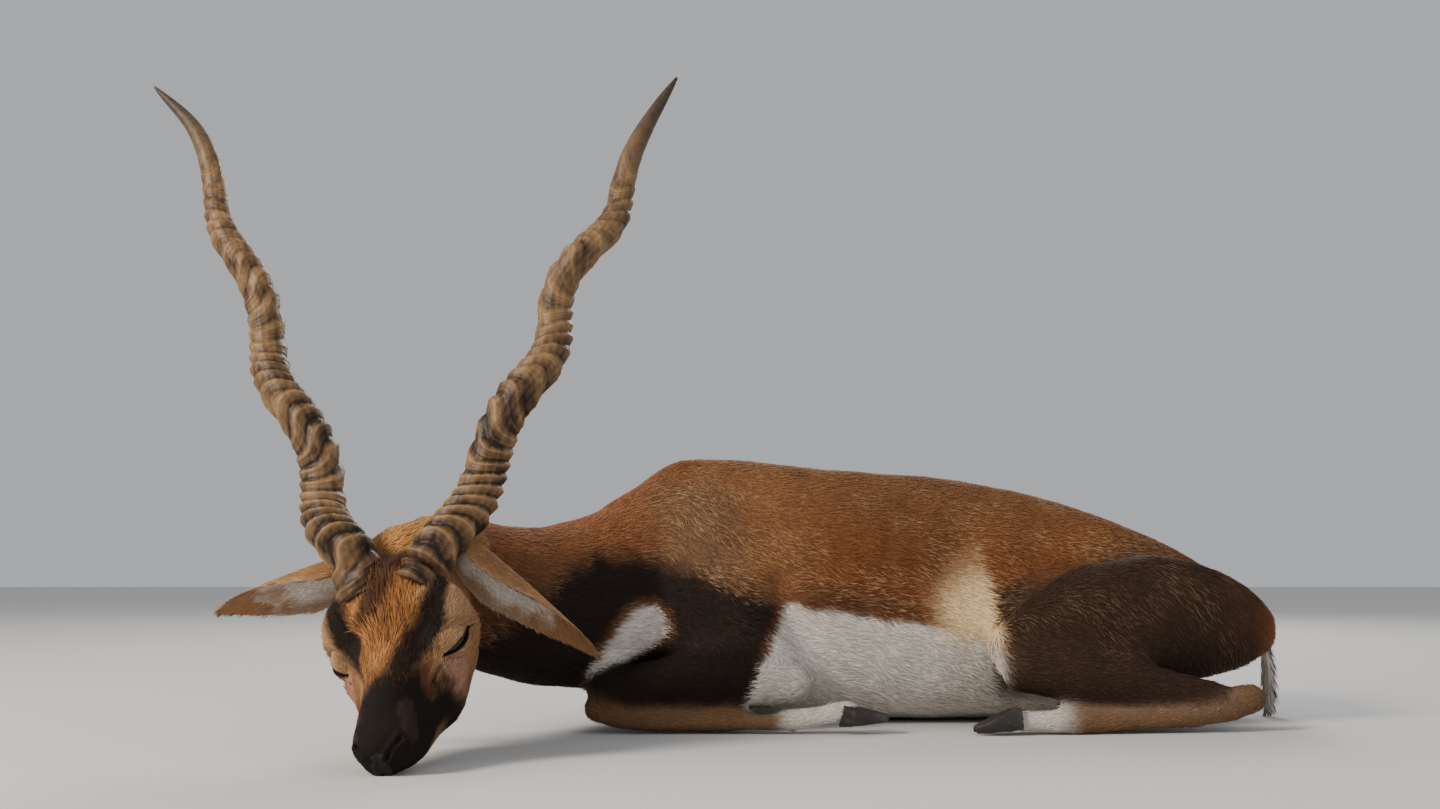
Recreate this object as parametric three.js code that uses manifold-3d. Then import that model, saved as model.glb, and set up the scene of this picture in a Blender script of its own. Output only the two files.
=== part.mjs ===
// A male blackbuck lying on its chest, muzzle on the ground, horns up.
// Millimetres, +Z up. Working frame: X runs from the chest to the rump, Y from the
// animal's left side to its right, Z = 0 is the ground and Y = 0 the trunk's middle.
// The last lines move the whole animal so that the origin is the middle of its base.

import * as THREE from 'three';
import { LoftGeometry } from 'three/addons/geometries/LoftGeometry.js';
import { mergeVertices } from 'three/addons/utils/BufferGeometryUtils.js';
import Module from 'manifold-3d';

const wasm = await Module();
wasm.setup();

// Driving dimensions

const GAP = 0.35;            // clear space where two pieces meet
const GROUND = 0;

const HEAD_LENGTH = 218;     // poll to nose
const HEAD_YAW = 2;         // degrees, turned about the vertical
const HEAD_PITCH = 44;       // degrees, nose below the horizontal
const HEAD_ROLL = -17;       // degrees, about the line from poll to nose
const JAW_LEAN = 9;          // how far the jaw hangs to the animal's left
const POLL = [-271, -291, 160];

const EYE = { x: 97, y: 43, z: 1, radius: 16.5 };
const LID = { thickness: 2, length: 31, opening: 10, tilt: 12 };

// Each horn runs from its root to its tip. 'pace' lets the turns crowd towards one end,
// and 'bend' is how far the mean line stands outwards along the way.
const HORN = {
  root: { x: 51, y: 30, z: 40 },
  lean: 1.5,
  rootDepth: 20,
  rings: 26,
  swing: 6.5,
  ringHeight: 2.2,
  ringedShare: 0.84,
  radius: [
    [0, 20.5], [0.12, 19.2], [0.3, 17.6], [0.5, 15.8], [0.68, 13.2],
    [0.8, 10.6], [0.9, 7.2], [0.97, 3.8], [1, 1.4],
  ],
};
const HORNS = {
  left: {
    side: 1, tip: [-43, -214, 645], start: -2.12, turns: 3.56, pace: 1.1,
    bend: [
      [0, 0], [0.15, 3.5], [0.29, 7.5], [0.39, 5.5], [0.51, -3],
      [0.63, 2], [0.76, 1], [0.9, -5], [1, 0],
    ],
  },
  right: {
    side: -1, tip: [-587, -150, 658], start: -4.04, turns: 3.59, pace: 0.8,
    bend: [[0, 0], [0.25, -4], [0.5, -9], [0.75, -16.5], [0.9, -18], [1, 0]],
  },
};

const EAR = { wall: 2.8, rootRadius: 13, sag: 0 };

const SHOULDER_Y = 60;
const HIP_Y = 70;
const KNEE_Y = 150;
const FOOT_Y = 152;

const COLOURS = {
  brown: 0x6b4526,
  dark: 0x2a1c14,
  tan: 0x9a6a3c,
  white: 0xd9d2c6,
  horn: 0x6f5a40,
  hoof: 0x221d1a,
  eye: 0x120d0a,
};

// Small helpers

const rad = THREE.MathUtils.degToRad;
const vec = (a) => new THREE.Vector3(a[0], a[1], a[2]);
const mirrorY = (a, side) => [a[0], a[1] * side, ...a.slice(2)];
const smooth = (a, b, t) => THREE.MathUtils.smoothstep(t, a, b);

// Values of a table of rows [key, value, value ...] at a key, on a smooth curve
function sample(rows, key) {
  const last = rows.length - 1;
  const k = THREE.MathUtils.clamp(key, rows[0][0], rows[last][0]);
  let i = 0;
  while (i < last - 1 && k > rows[i + 1][0]) i += 1;
  const width = rows[i + 1][0] - rows[i][0];
  const t = (k - rows[i][0]) / width;
  const slope = (j, c) => {
    const a = Math.max(j - 1, 0);
    const b = Math.min(j + 1, last);
    return (rows[b][c] - rows[a][c]) / (rows[b][0] - rows[a][0]);
  };
  const values = [];
  for (let c = 1; c < rows[0].length; c += 1) {
    const a = rows[i][c];
    const b = rows[i + 1][c];
    const ta = slope(i, c) * width;
    const tb = slope(i + 1, c) * width;
    const t2 = t * t;
    const t3 = t2 * t;
    values.push((2 * t3 - 3 * t2 + 1) * a + (t3 - 2 * t2 + t) * ta
      + (3 * t2 - 2 * t3) * b + (t3 - t2) * tb);
  }
  return values;
}

// Solids: a closed geometry becomes a solid, and a solid becomes a geometry again

function solid(geometry) {
  const plain = new THREE.BufferGeometry().copy(geometry);
  plain.deleteAttribute('normal');
  plain.deleteAttribute('uv');
  const merged = mergeVertices(plain, 1e-3);
  return new wasm.Manifold(new wasm.Mesh({
    numProp: 3,
    vertProperties: new Float32Array(merged.attributes.position.array),
    triVerts: new Uint32Array(merged.index.array),
  }));
}

function largest(body) {
  const parts = body.decompose();
  parts.sort((a, b) => b.volume() - a.volume());
  return parts[0];
}

function geometryOf(body) {
  const mesh = body.getMesh();
  const geometry = new THREE.BufferGeometry();
  geometry.setAttribute('position', new THREE.BufferAttribute(new Float32Array(mesh.vertProperties), 3));
  geometry.setIndex(new THREE.BufferAttribute(new Uint32Array(mesh.triVerts), 1));
  geometry.computeVertexNormals();
  return geometry;
}

const union = (bodies) => bodies.reduce((sum, body) => sum.add(body));
const cut = (body, tools) => tools.reduce((rest, tool) => rest.subtract(tool), body);

function loft(sections) {
  return solid(new LoftGeometry(sections, { closed: true, capStart: true, capEnd: true }));
}

function groundBlock() {
  const size = 3000;
  const block = new THREE.BoxGeometry(size, size, size);
  block.translate(0, 0, GROUND - size / 2);
  return solid(block);
}

// A limb: an oval tube through rows [x, y, z, half width, half depth], with rounded ends.
// The half width lies across the limb, along the direction 'across'.
function limb(rows, { sides = 10, steps = 8, across = [0, 1, 0], grow = 0 } = {}) {
  const path = new THREE.CatmullRomCurve3(rows.map(vec), false, 'centripetal');
  const girth = rows.map((row, i) => [i / (rows.length - 1), row[3], row[4]]);
  const stations = [];
  const domeSteps = 2;
  for (let i = 0; i < domeSteps; i += 1) {
    stations.push({ t: 0, dome: -Math.cos((Math.PI / 2) * (i + 0.25) / domeSteps) });
  }
  for (let i = 0; i <= steps; i += 1) stations.push({ t: i / steps, dome: 0 });
  for (let i = domeSteps - 1; i >= 0; i -= 1) {
    stations.push({ t: 1, dome: Math.cos((Math.PI / 2) * (i + 0.25) / domeSteps) });
  }
  const sections = stations.map(({ t, dome }) => {
    const [a, b] = sample(girth, t);
    const centre = path.getPoint(t);
    const along = path.getTangent(t);
    const side = vec(across).addScaledVector(along, -vec(across).dot(along)).normalize();
    const up = new THREE.Vector3().crossVectors(along, side);
    const shrink = Math.sqrt(1 - dome * dome);
    centre.addScaledVector(along, dome * (Math.min(a, b) + grow));
    const ring = [];
    for (let j = 0; j < sides; j += 1) {
      const angle = (j / sides) * 2 * Math.PI;
      ring.push(centre.clone()
        .addScaledVector(side, Math.cos(angle) * (a + grow) * shrink)
        .addScaledVector(up, Math.sin(angle) * (b + grow) * shrink));
    }
    return ring;
  });
  return loft(sections);
}

// The head's own frame: x from the poll to the nose, y to the animal's left, z out of the forehead

const headAxes = (() => {
  const turn = new THREE.Matrix4().makeRotationZ(rad(HEAD_YAW));
  turn.multiply(new THREE.Matrix4().makeRotationX(rad(HEAD_PITCH)));
  turn.multiply(new THREE.Matrix4().makeRotationY(rad(HEAD_ROLL)));
  const axes = new THREE.Matrix4().makeBasis(vec([0, -1, 0]), vec([1, 0, 0]), vec([0, 0, 1]));
  turn.multiply(axes);
  turn.setPosition(...POLL);
  return turn;
})();

const onHead = (x, y, z) => vec([x, y, z]).applyMatrix4(headAxes);

// Rows: distance from the poll, top, underside, half width, height of the widest place

const HEAD_ROWS = [
  [-26, 4, -40, 26, -16],
  [0, 26, -60, 42, -16],
  [26, 42, -70, 47, -14],
  [52, 50, -69, 48, -10],
  [84, 46, -65, 46, -7],
  [110, 36, -60, 41, -12],
  [136, 28, -53, 35.5, -15],
  [166, 21.5, -44, 30, -13],
  [186, 17.5, -37, 28, -10],
  [201, 12, -31, 24, -10],
  [211, 4, -24, 15.5, -10],
  [HEAD_LENGTH, -6, -16, 6, -11],
];

// Rounded masses on the head: place, reach and height of each, made on both sides

const HEAD_MASSES = [
  { at: [88, 48, 10], reach: 33, height: 18 },    // eye socket
  { at: [78, 44, 29], reach: 24, height: 9 },     // brow
  { at: [88, 42, -28], reach: 36, height: 11 },   // cheek
  { at: [130, 28, -42], reach: 38, height: 12 },  // edge of the jaw
  { at: [50, 26, 48], reach: 22, height: 6 },     // root of the horn
  { at: [194, 20, 2], reach: 13, height: 3.2 },   // wing of the nostril
  { at: [124, 34, 14], reach: 13, height: -3 },   // hollow before the eye
  { at: [148, 30, 4], reach: 20, height: -1.5 },  // hollow of the muzzle's side
  { at: [8, 46, 6], reach: 22, height: 6 },       // root of the ear
];

const HEAD_SIDES = 26;
const HEAD_STEPS = 28;

function headSolid(grow) {
  const from = HEAD_ROWS[0][0];
  const to = HEAD_LENGTH;
  const sections = [];
  for (let i = 0; i <= HEAD_STEPS; i += 1) {
    const share = i / HEAD_STEPS;
    const x = from + (to - from) * share;
    const [top, bottom, halfWidth, middle] = sample(HEAD_ROWS, x);
    const end = i === 0 ? -grow : (i === HEAD_STEPS ? grow : 0);
    const ring = [];
    for (let j = 0; j < HEAD_SIDES; j += 1) {
      const angle = (j / HEAD_SIDES) * 2 * Math.PI;
      const c = Math.cos(angle);
      const s = Math.sin(angle);
      const height = (c > 0 ? top - middle : middle - bottom) + grow;
      const jaw = 1 - 0.14 * smooth(0.1, 0.9, -c);
      const lean = JAW_LEAN * smooth(0, 0.8, -c) * smooth(85, 130, x) * (1 - smooth(190, 214, x));
      const point = vec([x + end, s * (halfWidth + grow) * jaw + lean, middle + c * height]);
      const outward = vec([0, s / (halfWidth || 1), c / (height || 1)]).normalize();
      let lift = 0;
      for (const mass of HEAD_MASSES) {
        const side = Math.sign(point.y) || 1;
        const away = point.distanceTo(vec(mirrorY(mass.at, side)));
        lift += mass.height * Math.exp(-((away / mass.reach) ** 2) * 1.6);
      }
      ring.push(point.addScaledVector(outward, lift).applyMatrix4(headAxes));
    }
    sections.push(ring.reverse());
  }
  return loft(sections);
}

// Eyes, and the lids that leave an almond-shaped opening over each

function ball(centre, radius, wide, high) {
  const geometry = new THREE.SphereGeometry(radius, wide, high);
  geometry.translate(centre.x, centre.y, centre.z);
  return solid(geometry);
}

const eyeCentre = (side) => onHead(EYE.x, EYE.y * side, EYE.z);

function almond(side) {
  const half = LID.length / 2;
  const shape = new THREE.Shape();
  shape.moveTo(-half, 0);
  shape.quadraticCurveTo(0, LID.opening, half, 0);
  shape.quadraticCurveTo(0, -LID.opening * 0.7, -half, 0);
  const depth = EYE.radius * 2;
  const geometry = new THREE.ExtrudeGeometry(shape, { depth, bevelEnabled: false, curveSegments: 8 });
  const tilt = rad(LID.tilt);
  const along = vec([Math.cos(tilt), 0.1 * side, -Math.sin(tilt)]).normalize();
  const out = vec([0.38, side, 0.22]);
  out.addScaledVector(along, -out.dot(along)).normalize();
  const up = new THREE.Vector3().crossVectors(out, along);
  const place = new THREE.Matrix4().makeBasis(along, up, out);
  place.setPosition(EYE.x, EYE.y * side, EYE.z);
  geometry.applyMatrix4(place);
  geometry.applyMatrix4(headAxes);
  return solid(geometry);
}

// A thin rounded rod through points given in the head's frame
function rod(points, radius, sides = 5) {
  const rows = points.map((p) => [...onHead(...p).toArray(), radius, radius]);
  const across = onHead(0, 0, 1).sub(onHead(0, 0, 0)).toArray();
  return limb(rows, { sides, steps: 4, across });
}

// The mouth: a groove along both lips, with the lips standing a little proud

const MOUTH = [[212, 6, -13], [204, 15, -15], [190, 22, -17], [170, 24.5, -18], [148, 27, -17]];

function mouthGroove() {
  const heights = MOUTH.map(([x, , z]) => [x, z]).reverse();
  const slit = 1.2;
  const shape = new THREE.Shape();
  heights.forEach(([x, z], i) => (i === 0 ? shape.moveTo(x, z) : shape.lineTo(x, z + slit / 2)));
  const ahead = HEAD_LENGTH + 20;
  const front = -12;
  shape.lineTo(ahead, front + slit / 2);
  shape.lineTo(ahead, front - slit / 2);
  [...heights].reverse().forEach(([x, z], i) => {
    if (i < heights.length - 1) shape.lineTo(x, z - slit / 2);
  });
  const wide = 80;
  const geometry = new THREE.ExtrudeGeometry(shape, { depth: wide, bevelEnabled: false });
  geometry.translate(0, 0, -wide / 2);
  geometry.rotateX(Math.PI / 2);
  geometry.applyMatrix4(headAxes);
  const depth = 3;
  return solid(geometry).subtract(headSolid(-depth));
}

function lips(side) {
  const lip = (drop, radius) => rod(MOUTH.map(([x, y, z]) => [x, (y - 0.4) * side, z + drop]), radius);
  return [lip(2.6, 1.9), lip(-2.8, 2)];
}

function nostril(side) {
  const rows = [[212, 8, 1], [206, 14, 6], [199, 20.5, 5.5]];
  return rod(rows.map(([x, y, z]) => [x, y * side, z]), 2.6, 8);
}

function glandSlit(side) {
  return rod([[124, 39 * side, -1], [132, 35.5 * side, -2], [140, 32.5 * side, -4]], 2.1, 6);
}

function headNode() {
  let body = headSolid(0);
  for (const side of [1, -1]) {
    body = body.add(ball(eyeCentre(side), EYE.radius + LID.thickness, 12, 8));
    body = body.add(union(lips(side)));
  }
  body = body.subtract(mouthGroove());
  for (const side of [1, -1]) {
    const socket = ball(eyeCentre(side), EYE.radius + GAP, 12, 8);
    body = cut(body, [almond(side), socket, nostril(side), glandSlit(side)]);
  }
  return body;
}

// A horn: a ringed corkscrew about a bent line from the forehead to the tip, a right-handed
// screw on the animal's left and its mirror on the right

function hornStations({ side, tip, start, turns, pace, bend }, steps) {
  const foot = onHead(HORN.root.x, HORN.root.y * side + HORN.lean, HORN.root.z);
  const along = vec(tip).sub(foot);
  const length = along.length();
  along.normalize();
  const east = vec([1, 0, 0]).addScaledVector(along, -along.x).normalize();
  const away = new THREE.Vector3().crossVectors(along, east);
  const stations = [foot.clone().addScaledVector(along, -HORN.rootDepth)];
  for (let i = 0; i <= steps; i += 1) {
    const t = i / steps;
    const turn = start + turns * 2 * Math.PI * t ** pace;
    const swing = HORN.swing * smooth(0, 0.05, t) * (1 - smooth(0.6, 1, t));
    const [outwards] = sample(bend, t);
    stations.push(foot.clone()
      .addScaledVector(along, t * length)
      .addScaledVector(east, side * (swing * Math.cos(turn) + outwards))
      .addScaledVector(away, swing * Math.sin(turn)));
  }
  return { stations, east };
}

function hornSolid(name, grow) {
  const steps = HORN.rings * 2;
  const sides = 12;
  const { stations, east } = hornStations(HORNS[name], steps);
  const sections = stations.map((centre, i) => {
    const t = Math.max(i - 1, 0) / steps;
    const before = stations[Math.max(i - 1, 0)];
    const after = stations[Math.min(i + 1, steps + 1)];
    const along = after.clone().sub(before).normalize();
    const a = east.clone().addScaledVector(along, -east.dot(along)).normalize();
    const b = new THREE.Vector3().crossVectors(along, a);
    const [girth] = sample(HORN.radius, t);
    const ringed = 1 - smooth(HORN.ringedShare - 0.06, HORN.ringedShare, t);
    const crest = Math.abs(Math.cos(Math.PI * HORN.rings * t)) - 0.5;
    const radius = girth + crest * HORN.ringHeight * ringed + grow;
    const ring = [];
    for (let j = 0; j < sides; j += 1) {
      const angle = (j / sides) * 2 * Math.PI;
      ring.push(centre.clone()
        .addScaledVector(a, Math.cos(angle) * radius)
        .addScaledVector(b, Math.sin(angle) * radius));
    }
    return ring;
  });
  return loft(sections);
}

// An ear: a leaf rolled round its length, open towards 'opening', on a solid root

const EAR_ROWS = [
  [0, 62, 14],
  [0.14, 82, 19],
  [0.32, 80, 23],
  [0.5, 64, 25],
  [0.7, 43, 26],
  [0.86, 23, 26],
  [0.95, 11, 26],
  [1, 4, 26],
];

const EARS = {
  left: { root: [4, 56, 30], tip: [-111, -262, 77], opening: [-0.5, -0.72, -0.48] },
  right: { root: [2, -50, 31], tip: [-443, -310, 119], opening: [0.15, -0.62, -0.76] },
};

function earSolid(name) {
  const { root, tip, opening } = EARS[name];
  const foot = onHead(...root);
  const along = vec(tip).sub(foot);
  const length = along.length();
  along.normalize();
  const open = vec(opening).addScaledVector(along, -vec(opening).dot(along)).normalize();
  const across = new THREE.Vector3().crossVectors(open, along);
  const steps = 9;
  const arcSteps = 6;
  const sections = [];
  for (let i = 0; i <= steps; i += 1) {
    const t = i / steps;
    const [width, radius] = sample(EAR_ROWS, t);
    const half = width / 2 / radius;
    const sag = EAR.sag * Math.sin(Math.PI * t);
    const back = foot.clone().addScaledVector(along, length * t).addScaledVector(open, -sag);
    const middle = back.addScaledVector(open, radius * 0.8);
    const wall = EAR.wall * (1 - 0.55 * t);
    const ring = [];
    for (const [r, turn] of [[radius, 1], [radius - wall, -1]]) {
      for (let j = 0; j <= arcSteps; j += 1) {
        const angle = turn * half * (2 * j / arcSteps - 1);
        ring.push(middle.clone()
          .addScaledVector(open, -Math.cos(angle) * r)
          .addScaledVector(across, Math.sin(angle) * r));
      }
    }
    sections.push(ring);
  }
  const cup = loft(sections);
  const plugEnd = foot.clone().addScaledVector(along, 30);
  const plugStart = foot.clone().addScaledVector(along, -16);
  const plug = limb([
    [...plugStart.toArray(), EAR.rootRadius, EAR.rootRadius],
    [...plugEnd.toArray(), 9, 9],
  ], { sides: 9, steps: 3, across: across.toArray() });
  return cup.add(plug);
}

// The neck, from the shoulders to the poll

const NECK_ROWS = [
  [18, 6, 160, 76, 116],
  [-50, -18, 147, 76, 122],
  [-112, -76, 131, 68, 96],
  [-166, -142, 124, 62, 84],
  [-218, -208, 134, 57, 73],
  [-262, -262, 156, 52, 62],
  [-284, -292, 162, 40, 44],
];

const neckSolid = (grow) => limb(NECK_ROWS, { sides: 16, steps: 9, across: [0.78, -0.62, 0], grow });

// The trunk: rows of x, middle line's y, top, height of the widest place, underside, half width

const TRUNK_ROWS = [
  [-136, -24, 176, 112, 66, 28],
  [-116, -18, 226, 114, 40, 60],
  [-86, -12, 264, 116, 18, 80],
  [-48, -4, 287, 116, 4, 90],
  [0, 0, 288, 114, -2, 96],
  [70, 2, 280, 112, -2, 101],
  [140, 4, 272, 110, -2, 106],
  [220, 6, 268, 110, -2, 108],
  [300, 10, 256, 112, -2, 102],
  [370, 14, 240, 118, 4, 94],
  [440, 18, 217, 126, 18, 88],
  [500, 24, 190, 124, 32, 78],
  [548, 28, 162, 116, 50, 60],
  [580, 30, 136, 108, 70, 38],
  [596, 30, 116, 102, 86, 14],
];

function trunkSolid() {
  const sides = 22;
  const steps = 22;
  const from = TRUNK_ROWS[0][0];
  const to = TRUNK_ROWS[TRUNK_ROWS.length - 1][0];
  const sections = [];
  for (let i = 0; i <= steps; i += 1) {
    const x = from + ((to - from) * (1 - Math.cos((Math.PI * i) / steps))) / 2;
    const [y, top, middle, bottom, halfWidth] = sample(TRUNK_ROWS, x);
    const ring = [];
    for (let j = 0; j < sides; j += 1) {
      const angle = (j / sides) * 2 * Math.PI;
      const c = Math.cos(angle);
      const s = Math.sin(angle);
      const power = c > 0 ? 0.96 : 0.72;
      const height = c > 0 ? top - middle : middle - bottom;
      const rise = Math.sign(c) * Math.abs(c) ** power * height;
      const out = Math.sign(s) * Math.abs(s) ** power * halfWidth;
      ring.push(vec([x, y + out, middle + rise]));
    }
    sections.push(ring.reverse());
  }
  return loft(sections);
}

// Legs, folded under the body. Rows are for the left side, nearest the viewer.

const LEG_ROWS = {
  fore_upper: [
    [-6, -SHOULDER_Y, 236, 16, 36],
    [-22, -74, 190, 27, 62],
    [-30, -88, 145, 32, 84],
    [-2, -100, 98, 32, 76],
    [40, -108, 62, 26, 44],
  ],
  fore_arm: [
    [80, -116, 46, 17, 24],
    [48, -120, 54, 25, 34],
    [0, -132, 56, 26, 33],
    [-60, -144, 50, 20, 25],
    [-112, -KNEE_Y, 43, 16, 19],
  ],
  fore_cannon: [
    [-122, -FOOT_Y, 27, 14.5, 18],
    [-92, -FOOT_Y, 14, 11.5, 13],
    [-20, -FOOT_Y, 10, 9.5, 11],
    [44, -FOOT_Y, 11, 10, 11.5],
    [70, -FOOT_Y, 13, 12, 14],
  ],
  fore_pastern: [
    [76, -FOOT_Y, 14, 12, 13.5],
    [102, -153, 18, 10.5, 11.5],
    [126, -154, 22, 11.5, 13],
  ],
  hind_thigh: [
    [284, -128, 84, 22, 28],
    [334, -114, 94, 34, 48],
    [392, -96, 104, 42, 66],
    [450, -82, 108, 44, 72],
    [504, -HIP_Y, 106, 42, 64],
    [546, -58, 100, 36, 50],
    [576, -44, 96, 22, 32],
  ],
  hind_shank: [
    [300, -138, 64, 24, 28],
    [360, -142, 56, 24, 28],
    [430, -140, 46, 18, 23],
    [496, -136, 36, 12, 17],
  ],
  hind_cannon: [
    [536, -133, 33, 11, 15],
    [506, -137, 27, 14, 20],
    [468, -144, 18, 11, 14],
    [400, -152, 12, 9.5, 11.5],
    [344, -158, 12, 12, 13.5],
  ],
  hind_pastern: [
    [338, -158, 13, 12, 13.5],
    [312, -160, 13, 10.5, 11.5],
    [290, -161, 13, 11.5, 13],
  ],
};

// How far each leg of the right side is set from the mirror of the left one

const RIGHT_LEG_SHIFT = { fore: [-14, 6, 0], hind: [10, 20, 0] };

function legRows(name, side) {
  const shift = RIGHT_LEG_SHIFT[name.startsWith('fore') ? 'fore' : 'hind'];
  return LEG_ROWS[name].map((row) => {
    if (side === 'left') return row;
    return [row[0] + shift[0], -row[1] + shift[1], row[2] + shift[2], row[3], row[4]];
  });
}

// Facets round each length of a leg, and along it
const LEG_FACETS = {
  upper: { sides: 14, steps: 8 },
  thigh: { sides: 14, steps: 8 },
  arm: { sides: 10, steps: 7 },
  shank: { sides: 10, steps: 6 },
  cannon: { sides: 9, steps: 6 },
  pastern: { sides: 8, steps: 3 },
};

const legSolid = (name, side, grow) => limb(legRows(name, side), {
  ...LEG_FACETS[name.split('_')[1]],
  grow,
});

// Two hooves on each foot, side by side: a wedge with a rounded wall and a pointed toe

const HOOF = { length: 46, width: 12.5, height: 24, split: 1.2 };

const FOOT_ENDS = {
  fore: { heel: [120, -154, 23], toe: [168, -156, 11], sole: [0.2, 0, 1] },
  hind: { heel: [294, -161, 12], toe: [246, -163, 9], sole: [0, 0, -1] },
};

function hoofSolid(foot, side, which) {
  const end = FOOT_ENDS[foot];
  const shift = RIGHT_LEG_SHIFT[foot];
  const place = (p) => (side === 'left' ? vec(p) : vec([p[0] + shift[0], -p[1] + shift[1], p[2] + shift[2]]));
  const heel = place(end.heel);
  const along = place(end.toe).sub(heel).normalize();
  const sole = vec(end.sole);
  sole.addScaledVector(along, -sole.dot(along)).normalize();
  const across = new THREE.Vector3().crossVectors(along, sole);
  const steps = 4;
  const sides = 8;
  const sections = [];
  for (let i = 0; i <= steps; i += 1) {
    const t = i / steps;
    const wide = (HOOF.width / 2) * Math.sqrt(1 - 0.93 * t ** 2.4);
    const high = HOOF.height * (1 - 0.72 * t ** 1.3);
    const inner = which * (HOOF.split / 2 + HOOF.width / 2 - t * t * 1.2);
    const middle = heel.clone().addScaledVector(along, HOOF.length * t).addScaledVector(across, inner);
    const ring = [];
    for (let j = 0; j < sides; j += 1) {
      const angle = (j / sides) * 2 * Math.PI;
      const c = Math.cos(angle);
      const s = Math.sin(angle);
      const rise = c > 0 ? c * 0.32 * HOOF.height : c * (high - 0.32 * HOOF.height);
      const narrow = c > 0 ? Math.abs(s) ** 0.5 * Math.sign(s) : s;
      ring.push(middle.clone().addScaledVector(sole, rise).addScaledVector(across, narrow * wide));
    }
    sections.push(ring);
  }
  return loft(sections);
}

// The tail: short, narrow at the root, hanging down behind the rump to the ground

const TAIL_ROWS = [
  [566, 30, 128, 13, 12],
  [590, 26, 116, 13, 9],
  [602, 18, 84, 13, 8],
  [604, 12, 44, 11, 8],
  [602, 8, 8, 6, 8],
];

const tailSolid = (grow) => limb(TAIL_ROWS, { sides: 9, steps: 7, grow });

// Assembly: every piece is cut by its grown neighbours, so that they meet face to face

const block = groundBlock();
const headGrown = headSolid(GAP);
const neckGrown = neckSolid(GAP);
const pieces = new Map();

function keep(name, body, colour, roughness = 0.9) {
  const rested = largest(body.subtract(block));
  pieces.set(name, { body: rested, colour, roughness });
}

keep('head', headNode(), COLOURS.tan);
for (const [name, side] of [['left', 1], ['right', -1]]) {
  keep(`eye_${name}`, ball(eyeCentre(side), EYE.radius, 12, 8), COLOURS.eye, 0.1);
  keep(`horn_${name}`, cut(hornSolid(name, 0), [headGrown]), COLOURS.horn, 0.6);
  keep(`ear_${name}`, cut(earSolid(name), [headGrown, neckGrown, hornSolid(name, GAP)]), COLOURS.tan);
}
keep('neck', cut(neckSolid(0), [headGrown]), COLOURS.brown);

const trunkTools = [neckGrown, tailSolid(GAP)];
for (const side of ['left', 'right']) {
  const grown = (name) => legSolid(name, side, GAP);
  const upper = grown('fore_upper');
  const arm = grown('fore_arm');
  const foreCannon = grown('fore_cannon');
  const thigh = grown('hind_thigh');
  const shank = grown('hind_shank');
  const hindCannon = grown('hind_cannon');
  keep(`fore_upper_${side}`, cut(legSolid('fore_upper', side, 0), [neckGrown]), COLOURS.dark);
  keep(`fore_arm_${side}`, cut(legSolid('fore_arm', side, 0), [upper, neckGrown]), COLOURS.dark);
  keep(`fore_cannon_${side}`, cut(legSolid('fore_cannon', side, 0), [arm, upper]), COLOURS.tan);
  keep(`fore_pastern_${side}`, cut(legSolid('fore_pastern', side, 0), [foreCannon, arm]), COLOURS.white);
  keep(`hind_thigh_${side}`, legSolid('hind_thigh', side, 0), COLOURS.brown);
  keep(`hind_shank_${side}`, cut(legSolid('hind_shank', side, 0), [thigh]), COLOURS.brown);
  keep(`hind_cannon_${side}`, cut(legSolid('hind_cannon', side, 0), [shank, thigh]), COLOURS.tan);
  keep(`hind_pastern_${side}`, cut(legSolid('hind_pastern', side, 0), [hindCannon, shank]), COLOURS.white);
  for (const foot of ['fore', 'hind']) {
    const pastern = grown(`${foot}_pastern`);
    for (const [which, place] of [['outer', 1], ['inner', -1]]) {
      keep(`${foot}_hoof_${which}_${side}`, cut(hoofSolid(foot, side, place), [pastern]), COLOURS.hoof, 0.4);
    }
  }
  trunkTools.push(upper, arm, foreCannon, thigh, shank, hindCannon);
}
keep('tail', cut(tailSolid(0), []), COLOURS.brown);
keep('torso', cut(trunkSolid(), trunkTools), COLOURS.brown);

const model = new THREE.Group();
for (const [name, { body, colour, roughness }] of pieces) {
  const material = new THREE.MeshStandardMaterial({ color: colour, roughness, metalness: 0 });
  const mesh = new THREE.Mesh(geometryOf(body), material);
  mesh.name = name;
  model.add(mesh);
}

const bounds = new THREE.Box3().setFromObject(model);
const middle = bounds.getCenter(new THREE.Vector3());
model.position.set(-middle.x, -middle.y, -bounds.min.z);

const blackbuck = new THREE.Group();
blackbuck.add(model);

export default blackbuck;
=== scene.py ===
import math
from contextlib import contextmanager

import bmesh
import bpy
import numpy as np
from mathutils import Matrix, Vector


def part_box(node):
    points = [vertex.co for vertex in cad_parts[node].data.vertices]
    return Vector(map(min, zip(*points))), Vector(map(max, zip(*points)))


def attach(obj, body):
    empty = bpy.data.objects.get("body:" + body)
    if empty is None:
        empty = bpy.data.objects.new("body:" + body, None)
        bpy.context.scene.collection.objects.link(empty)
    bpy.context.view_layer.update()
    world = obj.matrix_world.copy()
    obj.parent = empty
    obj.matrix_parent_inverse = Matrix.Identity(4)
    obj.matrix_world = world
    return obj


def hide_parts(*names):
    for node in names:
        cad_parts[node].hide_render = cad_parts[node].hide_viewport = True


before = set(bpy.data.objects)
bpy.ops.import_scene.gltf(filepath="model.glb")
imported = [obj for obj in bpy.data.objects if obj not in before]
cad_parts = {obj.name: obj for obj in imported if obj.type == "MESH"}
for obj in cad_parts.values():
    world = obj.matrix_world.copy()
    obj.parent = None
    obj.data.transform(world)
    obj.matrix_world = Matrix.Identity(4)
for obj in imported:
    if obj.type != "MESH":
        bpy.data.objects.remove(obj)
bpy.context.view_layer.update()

# A blackbuck lying on its chest. Shapes are worked out in millimetres in the animal's own
# frame: x from the chest to the rump, y from its left side to its right, z up from the
# ground. 'place' brings them to the model's frame in metres.

rng = np.random.default_rng(41)

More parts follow.
